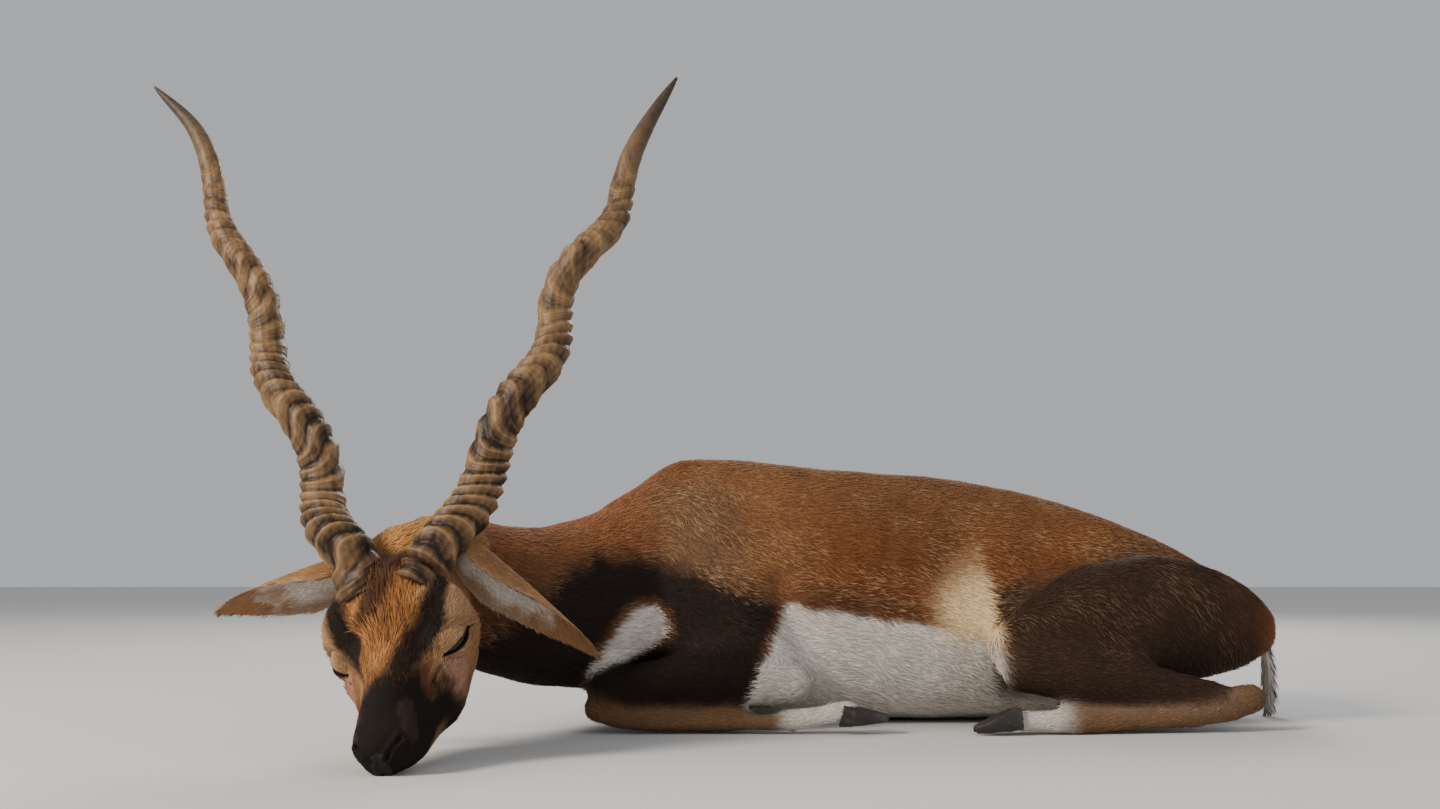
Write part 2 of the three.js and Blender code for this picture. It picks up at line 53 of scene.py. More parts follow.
MM = 1000
TURN = 2 * math.pi

HEAD_YAW = 2
HEAD_PITCH = 44
HEAD_ROLL = -17
POLL = (-271, -291, 160)

EYE = (97, 43, 1)
EYE_RADIUS = 16.5
MIRROR = {"left": 1, "right": -1}


def head_matrix():
    turn = Matrix.Rotation(math.radians(HEAD_YAW), 4, "Z")
    turn = turn @ Matrix.Rotation(math.radians(HEAD_PITCH), 4, "X")
    turn = turn @ Matrix.Rotation(math.radians(HEAD_ROLL), 4, "Y")
    axes = Matrix(((0, 1, 0, 0), (-1, 0, 0, 0), (0, 0, 1, 0), (0, 0, 0, 1)))
    return Matrix.Translation(POLL) @ turn @ axes


HEAD = np.array(head_matrix())


def from_head(points):
    return np.asarray(points, float) @ HEAD[:3, :3].T + HEAD[:3, 3]


def to_head(points):
    return (np.asarray(points, float) - HEAD[:3, 3]) @ HEAD[:3, :3]


eye_low, eye_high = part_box("eye_left")
ORIGIN = np.array((eye_low + eye_high) / 2) * MM - from_head(EYE)


def place(points):
    return (np.asarray(points, float) + ORIGIN) / MM


def unplace(points):
    return np.asarray(points, float) * MM - ORIGIN


def add_object(name, data):
    made = bpy.data.objects.new(name, data)
    bpy.context.scene.collection.objects.link(made)
    return made


# Camera

IMAGE_WIDTH = 1440
FOCAL_PIXELS = 1400
CAMERA_AT = (0, -1556, 160)
CAMERA_RISE = 6.74
SENSOR_WIDTH = 36

camera_data = bpy.data.cameras.new("camera")
camera_data.sensor_width = SENSOR_WIDTH
camera_data.lens = SENSOR_WIDTH * FOCAL_PIXELS / IMAGE_WIDTH
camera = add_object("camera", camera_data)
camera.location = place(CAMERA_AT)
camera.rotation_euler = (math.radians(90 + CAMERA_RISE), 0, 0)
bpy.context.scene.camera = camera


# Small maths

def smooth(low, high, value):
    t = np.clip((value - low) / (high - low), 0, 1)
    return t * t * (3 - 2 * t)


def unit(vectors):
    length = np.linalg.norm(vectors, axis=-1, keepdims=True)
    return vectors / np.maximum(length, 1e-9)


def bell(value, middle, width):
    """1 at the middle, falling to nothing about twice the width from it."""
    return np.exp(-(((value - middle) / width) ** 2))


def distance(points, spot):
    return np.linalg.norm(points - np.asarray(spot), axis=1)


def edge_at(rows, key):
    """A table of rows (key, value) read at the keys, along straight lines."""
    return np.interp(key, *np.transpose(rows))


def rows_at(rows, key):
    """A table of rows (key, value, ...) read at the keys, smoothly."""
    table = np.array(rows, float)
    t = np.asarray(key, float)
    slopes = np.gradient(table[:, 1:], table[:, 0], axis=0)
    i = np.clip(np.searchsorted(table[:, 0], t, side="right") - 1, 0, len(table) - 2)
    width = table[i + 1, 0] - table[i, 0]
    u = np.clip((t - table[i, 0]) / width, 0, 1)[..., None]
    width = width[..., None]
    h0 = 2 * u**3 - 3 * u**2 + 1
    h1 = u**3 - 2 * u**2 + u
    h2 = 3 * u**2 - 2 * u**3
    h3 = u**3 - u**2
    a = table[i, 1:]
    b = table[i + 1, 1:]
    return h0 * a + h1 * width * slopes[i] + h2 * b + h3 * width * slopes[i + 1]


LATTICE_SIZE = 32
LATTICE = rng.random((LATTICE_SIZE,) * 3)


def noise(points, size, offset=0.0):
    """Smooth noise from 0 to 1, with lumps of about that size."""
    q = np.asarray(points, float) / size + offset
    base = np.floor(q).astype(int)
    f = q - base
    f = f * f * (3 - 2 * f)
    total = 0
    for corner in np.ndindex(2, 2, 2):
        share = np.where(corner, f, 1 - f)
        x, y, z = np.moveaxis((base + corner) % LATTICE_SIZE, -1, 0)
        total = total + share[..., 0] * share[..., 1] * share[..., 2] * LATTICE[x, y, z]
    return total


def polyline_distance(points, line):
    """Distance to a line of points, the share along it, and its direction there."""
    line = np.asarray(line, float)
    best = np.full(len(points), np.inf)
    share = np.zeros(len(points))
    heading = np.zeros((len(points), 3))
    pieces = len(line) - 1
    for i in range(pieces):
        a = line[i, :3]
        d = line[i + 1, :3] - a
        t = np.clip((points - a) @ d / (d @ d), 0, 1)
        away = np.linalg.norm(points - a - t[:, None] * d, axis=1)
        closer = away < best
        best[closer] = away[closer]
        share[closer] = (i + t[closer]) / pieces
        heading[closer] = d / np.linalg.norm(d)
    return best, share, heading


def tapered_distance(points, line):
    """Distance to a line of rows (x, y, z, half width), the half width and direction there."""
    away, share, heading = polyline_distance(points, line)
    half = np.interp(share, np.linspace(0, 1, len(line)), [row[3] for row in line])
    return away, half, heading


# The animal's parts

RIGHT_SHIFT = {"fore": (-14, 6), "hind": (10, 20)}

# For each part: a middle line of rows (x, y, z, radius) down which the hair lies, the hair's
# length, width and lift, the coat's depth, and how softly it meets its neighbours. The ear's
# line lies far below, because only the leaves added to the skin count as ear.
PARTS = {
    "trunk": dict(
        line=[(-128, -22, 112, 50), (-48, -4, 140, 95), (70, 2, 138, 118), (220, 6, 134, 118),
              (370, 14, 124, 100), (500, 24, 112, 74), (596, 30, 102, 20)],
        hair=10.5, width=1.15, lift=0.10, depth=2.8, ease=12),
    "neck": dict(
        line=[(-284, -292, 162, 42), (-262, -262, 156, 56), (-218, -208, 134, 65),
              (-166, -142, 124, 73), (-112, -76, 130, 80), (-50, -18, 143, 90)],
        hair=11, width=1.15, lift=0.10, depth=2.8, ease=8),
    "fore_upper": dict(
        line=[(-6, -60, 236, 28), (-22, -74, 190, 44), (-30, -88, 145, 56), (-2, -100, 98, 52),
              (40, -108, 62, 34)],
        hair=9.5, width=1.1, lift=0.09, depth=2.6, ease=12),
    "fore_arm": dict(
        line=[(80, -116, 46, 20), (48, -120, 54, 29), (0, -132, 56, 29), (-60, -144, 50, 22),
              (-112, -150, 43, 17)],
        hair=9, width=1.1, lift=0.09, depth=1.8, ease=4),
    "fore_cannon": dict(
        line=[(-122, -152, 27, 16), (-92, -152, 14, 12), (-20, -152, 10, 10), (70, -152, 13, 13)],
        hair=6.5, width=0.95, lift=0.09, depth=1.2, ease=2),
    "fore_pastern": dict(
        line=[(76, -152, 14, 12.5), (102, -153, 18, 11), (126, -154, 22, 12)],
        hair=7, width=0.95, lift=0.12, depth=1.2, ease=2),
    "hind_thigh": dict(
        line=[(576, -44, 96, 28), (504, -70, 106, 54), (450, -82, 108, 58), (392, -96, 104, 54),
              (334, -114, 94, 41), (284, -128, 84, 25)],
        hair=10, width=1.15, lift=0.09, depth=2.6, ease=10),
    "hind_shank": dict(
        line=[(300, -138, 64, 26), (360, -142, 56, 26), (430, -140, 46, 20), (496, -136, 36, 14)],
        hair=9, width=1.1, lift=0.09, depth=1.8, ease=4),
    "hind_cannon": dict(
        line=[(536, -133, 33, 13), (506, -137, 27, 17), (468, -144, 18, 12), (400, -152, 12, 10.5),
              (344, -158, 12, 13)],
        hair=6.5, width=0.95, lift=0.09, depth=1.2, ease=2),
    "hind_pastern": dict(
        line=[(338, -158, 13, 12.5), (312, -160, 13, 11), (290, -161, 13, 12)],
        hair=7, width=0.95, lift=0.12, depth=1.2, ease=2),
    "tail": dict(
        line=[(566, 30, 128, 12), (590, 26, 116, 11), (602, 18, 84, 10), (604, 12, 44, 9),
              (602, 8, 8, 7)],
        hair=22, width=1.5, lift=0.16, depth=2.6, ease=2),
    "ear": dict(line=[(0, 0, -900, 1), (1, 0, -900, 1)],
                hair=6, width=0.8, lift=0.08, depth=0, ease=1),
    "head": dict(
        line=[(-10, 0, -18, 48), (52, 0, -10, 54), (110, 0, -8, 42), (166, 0, -6, 27),
              (210, 0, -10, 17)],
        hair=5.5, width=0.85, lift=0.10, depth=1.2, ease=0),
}

PAIRED = [name for name in PARTS if name.startswith(("fore_", "hind_"))]

# Where the hair lies aslant: how far it follows the part's line, and the way added to that
HAIR_TURNS = {
    "head": (-1, (0, 0, 0)),
    "trunk": (1, (0, 0, -0.28)),
    "hind_thigh": (-0.7, (0, 0, -0.8)),
    "fore_upper": (0.5, (0.7, 0, -0.2)),
}
LEAST_EASE = 3
FULL_EASE = 12


def mirror_row(row, leg):
    dx, dy = RIGHT_SHIFT[leg]
    return (row[0] + dx, -row[1] + dy, *row[2:])


def part_lines():
    """Every part's line in the animal's frame, by (part, side)."""
    lines = {}
    for name, part in PARTS.items():
        line = part["line"]
        if name == "head":
            places = from_head([row[:3] for row in line])
            line = [(*p, row[3]) for p, row in zip(places, line)]
        lines[name, "left"] = line
        if name in PAIRED:
            lines[name, "right"] = [mirror_row(row, name[:4]) for row in line]
    return lines


LINES = part_lines()


def survey(points):
    """How much each point belongs to each part, and the way the hair lies there."""
    gaps = np.zeros((len(points), len(LINES)))
    headings = np.zeros((len(points), len(LINES), 3))
    for k, ((part, side), line) in enumerate(LINES.items()):
        away, radius, heading = tapered_distance(points, line)
        follow, added = HAIR_TURNS.get(part, (1, (0, 0, 0)))
        gaps[:, k] = away - radius
        headings[:, k] = follow * heading + added
    blend = np.array([max(PARTS[part]["ease"], LEAST_EASE) for part, side in LINES])
    weights = np.exp(-(gaps - gaps.min(axis=1, keepdims=True)) / blend)
    weights /= weights.sum(axis=1, keepdims=True)
    flow = unit((weights[..., None] * headings).sum(axis=1))
    by_part = {}
    for name in PARTS:
        by_part[name] = weights[:, [part == name for part, side in LINES]].sum(axis=1)
    return by_part, flow


def part_sum(by_part, *names):
    return sum(by_part[name] for name in names)


def part_value(by_part, field):
    return sum(weight * PARTS[name][field] for name, weight in by_part.items())


# Meshes

def read(items, field, size, kind=float):
    """One field of a mesh's items, a row for each."""
    values = np.zeros(len(items) * size, kind)
    items.foreach_get(field, values)
    return values.reshape(-1, size)


def mesh_arrays(mesh):
    mesh.calc_loop_triangles()
    return read(mesh.vertices, "co", 3), read(mesh.loop_triangles, "vertices", 3, int)


def animal_arrays(mesh):
    """The mesh's points in the animal's frame, and its triangles."""
    points, triangles = mesh_arrays(mesh)
    return unplace(points), triangles


def mesh_edges(mesh):
    return read(mesh.edges, "vertices", 2, int)


@contextmanager
def opened(mesh):
    """The mesh as a bmesh, written back at the end."""
    bm = bmesh.new()
    bm.from_mesh(mesh)
    yield bm
    bm.to_mesh(mesh)
    bm.free()


def set_points(mesh, points):
    mesh.vertices.foreach_set("co", np.asarray(points, float).ravel())
    mesh.update()


def vertex_normals(points, triangles):
    a, b, c = (points[triangles[:, i]] for i in range(3))
    face = np.cross(b - a, c - a)
    normals = np.zeros_like(points)
    for i in range(3):
        for axis in range(3):
            normals[:, axis] += np.bincount(triangles[:, i], face[:, axis], len(points))
    return unit(normals)


EASE_IN = 0.5
EASE_OUT = -0.52


def relax(points, edges, amount, rounds, keep_volume=True):
    """Evens out the points along their edges, by an amount given for each point."""
    a, b = edges[:, 0], edges[:, 1]
    count = np.bincount(a, minlength=len(points)) + np.bincount(b, minlength=len(points))
    count = np.maximum(count, 1)[:, None]
    amount = np.broadcast_to(amount, len(points))[:, None]
    for _ in range(rounds):
        for factor in ((EASE_IN, EASE_OUT) if keep_volume else (EASE_IN,)):
            total = np.zeros_like(points)
            for axis in range(3):
                total[:, axis] = np.bincount(a, points[b, axis], len(points))
                total[:, axis] += np.bincount(b, points[a, axis], len(points))
            points = points + (total / count - points) * amount * factor
    return points


def new_piece(name, mesh, replaced=()):
    """A piece of the animal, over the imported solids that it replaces."""
    piece = add_object(name, mesh)
    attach(piece, "root")
    if replaced:
        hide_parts(*replaced)
    return piece


def mesh_from_grid(name, rings):
    """A tube of rings of points (metres), closed round each ring and at both ends."""
    steps, sides = rings.shape[:2]
    start = np.arange(steps - 1)[:, None] * sides
    first = start + np.arange(sides)
    second = start + (np.arange(sides) + 1) % sides
    faces = np.stack([first, second, second + sides, first + sides], axis=-1)
    faces = faces.reshape(-1, 4).tolist()
    faces.append(list(range(sides))[::-1])
    faces.append(list(range((steps - 1) * sides, steps * sides)))
    mesh = bpy.data.meshes.new(name)
    mesh.from_pydata(rings.reshape(-1, 3).tolist(), [], faces)
    mesh.update()
    return mesh


PAINT = "coat"


def paint(mesh, colours):
    """Stores a colour for each vertex."""
    layer = mesh.color_attributes.new(PAINT, "FLOAT_COLOR", "POINT")
    rgba = np.ones((len(mesh.vertices), 4), np.float32)
    rgba[:, :3] = colours
    layer.data.foreach_set("color", rgba.ravel())


def finish_mesh(mesh, colours, material):
    """Paints a mesh and gives it its material and smooth shading."""
    paint(mesh, colours)
    mesh.materials.append(material)
    mesh.shade_smooth()


# Colours, written as they show on a screen

def screen(red, green, blue):
    value = np.array([red, green, blue]) / 255
    return np.where(value <= 0.04045, value / 12.92, ((value + 0.055) / 1.055) ** 2.4)


BROWN = screen(132, 88, 54)
BACK = screen(130, 87, 54)
RUST = screen(150, 92, 52)
RUSTY_EDGE = screen(118, 66, 38)
FLANK = screen(124, 74, 40)
GRIZZLE = screen(112, 84, 60)
DARK = screen(37, 27, 21)
# a dark brown, used on the thigh partly as a painted cast shadow
SHADE_BROWN = screen(52, 38, 29)
NECK = screen(106, 70, 46)
TAN = screen(160, 118, 80)
GOLD = screen(196, 142, 84)
PALE_TAN = screen(180, 141, 104)
ORANGE = screen(168, 112, 62)
WHITE = screen(228, 219, 208)
# warm cream painted on the flank's white as sunlight falling on it
SUNLIT_CREAM = screen(255, 220, 168)
LEG = screen(126, 94, 66)
MUZZLE = screen(28, 20, 15)
BLACK = screen(20, 16, 14)
PINKISH = screen(166, 124, 104)
UMBER = screen(70, 46, 31)
CHESTNUT = screen(134, 88, 52)
PAINTED_SHADE_BROWN = screen(112, 80, 56)
RUSSET = screen(112, 68, 46)
ROSE_BROWN = screen(84, 60, 50)
GRIZZLED_TIP = screen(206, 164, 120)
HORN_PALE = screen(178, 139, 96)
HORN_DEEP = screen(38, 25, 16)
HORN_TIP = screen(62, 54, 47)
HOOF_DEEP = screen(30, 25, 22)
HOOF_WORN = screen(86, 74, 62)
EYEBALL = screen(30, 22, 18)
IRIS = screen(36, 22, 13)
PUPIL = screen(6, 5, 5)


def mix(base, colour, share):
    """A colour, or one for each point, taken towards another by the share at each point."""
    return base + (colour - base) * share[:, None]


# Markings of the body

# Where the dark of the arm and the white of the belly end above, at each x, where the pale
# patch of the flank, white with painted sunlight on it, begins and ends, at each z, and the middle
# of the white leaf on the chest
DARK_TOP = [(-290, 84), (-200, 108), (-124, 178), (-40, 166), (41, 134), (62, 121)]
BELLY_TOP = [(50, 132), (67, 126), (134, 114), (187, 107), (226, 101), (262, 90), (300, 70),
             (420, 50), (560, 40)]
FLANK_PATCH_FRONT = [(84, 236), (140, 232), (190, 262)]
FLANK_PATCH_BACK = [(60, 286), (110, 286), (135, 283), (180, 270)]
CHEST_LEAF = [(-128, 0, 58), (-76, 0, 103)]


def behind_arm(x, z):
    """Distance behind the slanting line where the dark of the arm ends."""
    return x - 62 + (119 - z) * 0.375


def body_markings(points, normals, by_part):
    """The coat's colour on everything but the head."""
    x, y, z = points.T
    ragged = (noise(points, 14) - 0.5) * 10 + (noise(points, 5, 7.3) - 0.5) * 5
    rough_x = x + ragged
    rough_z = z + ragged
    high = smooth(165, 250, rough_z)
    colour = mix(BACK, FLANK, (1 - high) * smooth(30, 130, x))
    colour = mix(colour, BROWN, smooth(262, 290, z) * 0.6)
    colour = colour * (0.78 + 0.42 * noise(points, 44, 6.2))[:, None]
    # neck: reddish above, golden behind the horns, the gold on the nape's top partly painted
    # sunlight
    colour = mix(colour, NECK, by_part["neck"])
    upper_neck = smooth(140, 215, rough_z + 0.22 * (x + 200))
    colour = mix(colour, RUST, by_part["neck"] * upper_neck * 0.8)
    nape = smooth(-214, -246, rough_x) * smooth(140, 176, z)
    colour = mix(colour, GOLD, nape * part_sum(by_part, "neck", "head"))
    # reddish front of the withers, grizzled shoulder
    withers = smooth(-56, -100, rough_x) * smooth(190, 225, rough_z + 0.4 * x)
    colour = mix(colour, RUST, withers * 0.9)
    shoulder = part_sum(by_part, "fore_upper", "trunk") * smooth(40, -10, rough_x)
    shoulder = shoulder * smooth(-110, -80, x) * smooth(266, 236, rough_z)
    colour = mix(colour, GRIZZLE, shoulder * 0.85)
    # the dark of the shoulder, the upper arm and the lower neck, partly dark coat and partly the
    # head's shadow painted on, and the rusty edge behind it
    behind = behind_arm(x, z) + ragged * 0.5
    dark = smooth(16, -16, z - edge_at(DARK_TOP, x) + ragged * 1.5) * smooth(7, -7, behind)
    colour = mix(colour, DARK, dark)
    edge = smooth(-14, -3, behind) * smooth(14, 3, behind) * smooth(60, 90, z) * smooth(150, 130, z)
    colour = mix(colour, RUSTY_EDGE, edge * 0.7)
    # white belly, with the brown a little deeper above it
    thigh = part_sum(by_part, "hind_thigh", "hind_shank")
    over_belly = z - edge_at(BELLY_TOP, x)
    above = smooth(34, 12, over_belly) * smooth(66, 90, x) * smooth(240, 200, x)
    colour = mix(colour, SHADE_BROWN, above * 0.45)
    belly = smooth(4, -4, over_belly + ragged * 0.4) * smooth(-5, 5, behind) * (1 - thigh)
    colour = mix(colour, WHITE, belly)
    # pale patch of the flank, before the thigh: painted warm cream above, as sunlight on its white,
    # fading upwards, and white below
    flank = smooth(-30, 16, x - edge_at(FLANK_PATCH_FRONT, z) + ragged)
    flank = flank * smooth(6, -6, x - edge_at(FLANK_PATCH_BACK, z) + ragged * 0.4)
    flank = flank * smooth(200, 118, rough_z)
    sunlit_flank = smooth(66, 104, rough_z)
    colour = mix(colour, SUNLIT_CREAM, flank * sunlit_flank)
    colour = mix(colour, WHITE, flank * (1 - sunlit_flank))
    # thigh and shank: darker below a slanting line, partly their darker coat and partly a painted
    # cast shadow, reddish towards the rump's end
    below = smooth(20, -16, z - 139 - 0.4 * (x - 283) + ragged * 1.6)
    below = below * smooth(276, 290, x + ragged * 0.5) * smooth(600, 545, x)
    below = below * np.clip(thigh * 1.6 + 0.7 * smooth(360, 290, x) + 0.3, 0, 1)
    colour = mix(colour, SHADE_BROWN, below * 0.95)
    colour = mix(colour, RUST, smooth(500, 560, rough_x) * smooth(70, 110, z) * 0.15)
    # the rump's pale patch round the root of the tail
    rump = smooth(52, 30, np.hypot(y - 28, (z - 92) * 0.8)) * smooth(548, 572, x)
    colour = mix(colour, WHITE, rump)
    # white leaf on the chest, between the neck and the arm, with a chestnut fringe
    away, share = polyline_distance(points * (1, 0, 1), CHEST_LEAF)[:2]
    beyond = away - 3 - 16 * share**0.8 + ragged * 0.35
    outer = smooth(-16, -44, 20 - np.abs(y - 20)) * (1 - by_part["fore_arm"])
    colour = mix(colour, CHESTNUT, outer * smooth(14, 3, beyond) * smooth(74, 90, z) * 0.6)
    colour = mix(colour, WHITE, outer * smooth(5, -3, beyond))
    # legs
    arm = by_part["fore_arm"] * smooth(6, -6, behind) * smooth(30, 40, z + 0.12 * x)
    colour = mix(colour, DARK, arm)
    cannon = part_sum(by_part, "fore_cannon", "hind_cannon")
    colour = mix(colour, LEG, cannon)
    fetlock = smooth(48, 70, x) * by_part["fore_cannon"]
    pastern = part_sum(by_part, "fore_pastern", "hind_pastern")
    colour = mix(colour, WHITE, (pastern + fetlock) * 0.92)
    # inner sides and undersides
    under = smooth(-0.35, -0.75, normals[:, 2]) * smooth(-60, 30, x) * (1 - cannon)
    under = under * (1 - thigh) * (1 - by_part["fore_arm"] * smooth(8, -8, behind))
    colour = mix(colour, WHITE, under * 0.9)
    # tail: dark behind, white before
    colour = mix(colour, UMBER, by_part["tail"] * smooth(0.0, 0.3, normals[:, 0]))
    return mix(colour, WHITE, by_part["tail"] * smooth(0.1, -0.3, normals[:, 0]))


def mirrored(h):
    """Head places with the right side laid over the left."""
    return h * (1, 0, 1) + np.abs(h) * (0, 1, 0)


def stroke(h, line, ragged=0):
    """How far inside a tapering stroke each point lies, from 0 outside it to 1."""
    away, half = tapered_distance(h, line)[:2]
    return smooth(1.4, 0.6, (away + ragged) / half)


# Markings of the head, in its own frame

LID_FOLDS = (100, 55, 5)

# Strokes of colour, as rows of x, y, z and half width
BROW_RIM = [(76, 52, 30, 15), (98, 54, 14, 16)]
UNDER_EYE = [(108, 45, 8, 9), (128, 42, -6, 9)]
# painted shade laid in the hollows beside the eyes
SHADED_HOLLOW = [(76, 47, 39, 8), (90, 42, 35, 11), (100, 36, 27, 14), (110, 28, 21, 15),
          (126, 20, 22, 12), (140, 14, 22, 8)]
FORELOCK = [(62, 21, 46, 10), (76, 20, 45, 12), (95, 15, 41, 16), (109, 3, 37, 18),
            (118, -6, 31, 17), (130, -8, 27, 15), (144, -7, 25, 11), (156, -6, 22, 6)]
PARTING = [(30, 0, 48, 13), (57, 2, 52, 13), (76, -4, 48, 12), (94, -5, 47, 9), (104, -11, 40, 4)]
SIDE_LOCK = [(70, -22, 44, 8), (84, -27, 41, 8), (100, -20, 37, 6)]
CHEEK = [(116, 47, -10, 12), (126, 46, -18, 13), (128, 45, -28, 10)]
STRIP = [(166, 20, 11, 6), (178, 22, 7, 8), (192, 24, 2, 6)]
CORNER = [(128, 32, 5, 6), (136, 30, 4, 8), (146, 32, -5, 7)]


def head_markings(points):
    """The coat's colour on the head."""
    h = to_head(points)
    m = mirrored(h)
    x, y, z = h.T
    ragged = (noise(points, 7, 3.1) - 0.5) * 6 + (noise(points, 3, 9.7) - 0.5) * 4
    rough_x = x + ragged
    fine = noise(h * (0.1, 1, 0.35), 2.2, 5.9)
    colour = mix(TAN, NECK, smooth(0, -34, z) * smooth(112, 60, x) * 0.8)
    # pale brow, rim and cheek, the pinkish cheek partly a painted highlight, and a browner jaw that
    # is painted shade
    colour = mix(colour, PALE_TAN, stroke(m, BROW_RIM, ragged) * 0.85)
    colour = mix(colour, PALE_TAN, stroke(m, UNDER_EYE, ragged) * 0.8)
    colour = mix(colour, PAINTED_SHADE_BROWN, smooth(-16, -36, z + ragged) * smooth(84, 120, x) * 0.85)
    colour = mix(colour, PINKISH, stroke(m, CHEEK, ragged) * 0.75)
    # painted shade in the creases of the lid folds
    colour = mix(colour, PAINTED_SHADE_BROWN, bell(distance(m, LID_FOLDS), 15, 3) * smooth(-4, 6, z) * 0.4)
    # forehead: streaky chestnut, with the paler forelock running down to the right cheek, its
    # paleness and the side lock's partly painted sunlight on the face's lit side
    brow = smooth(52, 66, x) * smooth(150, 128, rough_x) * smooth(10, 20, z)
    brow = brow * smooth(34, 26, np.abs(y) + ragged * 0.6)
    colour = mix(colour, mix(UMBER, CHESTNUT, smooth(0.2, 0.5, fine)), brow)
    forelock = stroke(h, FORELOCK, ragged * 0.8)
    strands = mix(CHESTNUT, ORANGE, smooth(0.3, 0.45, fine))
    strands = mix(strands, GOLD, smooth(0.5, 0.75, fine) * 0.8)
    colour = mix(colour, strands, np.maximum(forelock, stroke(h, SIDE_LOCK, ragged * 0.8)))
    # crown between the horns, and the dark parting before it
    crown = smooth(70, 54, rough_x) * smooth(-4, 14, z) * smooth(12, 26, x)
    colour = mix(colour, UMBER, crown * smooth(30, 18, np.abs(y)))
    colour = mix(colour, UMBER, stroke(h, PARTING, ragged) * 0.85)
    # muzzle, reaching further back on one side; on the right side the pale of the face runs further
    # forward, partly painted sunlight
    edge = x + 0.65 * np.minimum(y, 16) + ragged * 1.4 + 10 * (fine - 0.5)
    edge = edge - 14 * smooth(-8, -24, y) * smooth(18, 8, z)
    colour = mix(colour, MUZZLE, smooth(132, 156, edge))
    # low sides of the muzzle: dark coat with painted shade along the mouth
    side_nose = smooth(140, 152, rough_x) * smooth(16, 24, np.abs(y)) * smooth(6, -4, z)
    colour = mix(colour, MUZZLE, side_nose * 0.9)
    # painted shade in the hollows from the horns down to the inner corners of the eyes, russet
    # beyond them
    colour = mix(colour, DARK, stroke(m, SHADED_HOLLOW, ragged * 0.6) * (1 - 0.85 * forelock))
    colour = mix(colour, RUSSET, stroke(m, CORNER, ragged * 1.4) * 0.5)
    colour = mix(colour, ROSE_BROWN, stroke(m, STRIP, ragged * 1.4) * 0.4)
    # black round the nose pad, paler chin
    colour = mix(colour, BLACK, smooth(16, 9, polyline_distance(h, PAD)[0]) * 0.6)
    chin = smooth(-27, -34, z + ragged * 0.4) * smooth(150, 170, x)
    return mix(colour, PALE_TAN, chin * 0.6)


def markings(points, normals, by_part):
    body = body_markings(points, normals, by_part)
    return mix(body, head_markings(points), np.clip(by_part["head"] * 1.3, 0, 1))


# The horns' measures

HORN_ROOT = (51, 30, 40)
HORN_LEAN = 1.5
HORN_ROOT_DEPTH = 14
HORN_STEPS = 520
HORN_SIDES = 60
HORN_SWING = 6.5
HORN_RINGED = 0.84
HORN_GIRTH = 20
RING_FIRST = 14.5
RING_GROWTH = 9
RING_CREST = 0.62
RING_HEIGHT = 4.8
RING_NOTCH = 2.2
SMALL_RING_HEIGHT = 0.9
FIBRE_HEIGHT = 0.2
GROWTH_HEIGHT = 0.16
HORN_RADIUS = [(0, 20.5), (0.12, 19.2), (0.3, 17.6), (0.5, 15.8), (0.68, 13.2), (0.8, 10.6),
               (0.9, 7.2), (0.97, 3.8), (1, 1.4)]
HORNS = {
    "left": dict(tip=(-43, -214, 645), start=-2.12, turns=3.56, pace=1.1,
                 bend=[(0, 0), (0.15, 3.5), (0.29, 7.5), (0.39, 5.5), (0.51, -3), (0.63, 2),
                       (0.76, 1), (0.9, -5), (1, 0)]),
    "right": dict(tip=(-587, -150, 658), start=-4.04, turns=3.59, pace=0.8,
                  bend=[(0, 0), (0.25, -4), (0.5, -9), (0.75, -16.5), (0.9, -18), (1, 0)]),
}


# Ears: a leaf rolled round its length, on a solid root

EAR_WALL = 2.4
EAR_ROOT = [(-12, 13), (-2, 14), (8, 13), (18, 11)]
EAR_ROWS = [(-0.1, 50, 12), (0, 62, 14), (0.14, 82, 19), (0.32, 80, 23), (0.5, 64, 25),
            (0.7, 43, 26), (0.86, 23, 26), (0.95, 11, 26), (1, 4, 26)]
EARS = {
    "left": dict(root=(4, 56, 30), tip=(-111, -262, 77), opening=(-0.5, -0.72, -0.48)),
    "right": dict(root=(2, -50, 31), tip=(-443, -310, 119), opening=(0.15, -0.62, -0.76)),
}
EAR_RIDGES = 3.5
EAR_RIDGE_HEIGHT = 0.5
EAR_DEPTH = 0.9
EAR_SPAN = (-0.07, 0.992)
EAR_STEPS = 56
EAR_ARC = 24


def ear_frame(name):
    """An ear's root, the ways along it, out of its opening and across it, and its length."""
    ear = EARS[name]
    foot = from_head(ear["root"])
    reach = np.array(ear["tip"], float) - foot
    length = np.linalg.norm(reach)
    along = reach / length
    opening = np.array(ear["opening"])
    opening = unit(opening - along * (opening @ along))
    return foot, along, opening, np.cross(opening, along), length


def ear_ring(name, t, u, inward):
    """Points across an ear at one place: t from root to tip, u from -1 to 1 round it."""
    foot, along, opening, across, length = ear_frame(name)
    width, radius = rows_at(EAR_ROWS, t)
    middle = foot + t * length * along + radius * 0.8 * opening
    wall = EAR_WALL * (1 - 0.55 * max(t, 0)) * (1 - 0.7 * np.abs(u) ** 3)
    ridges = EAR_RIDGE_HEIGHT * np.cos(u * EAR_RIDGES * math.pi)
    ridges = ridges * inward * math.sin(math.pi * min(max(t, 0), 1))
    r = radius - EAR_DEPTH - inward * wall + ridges
    angle = u * width / 2 / radius
    out = -np.cos(angle)[:, None] * opening + np.sin(angle)[:, None] * across
    return middle + r[:, None] * out


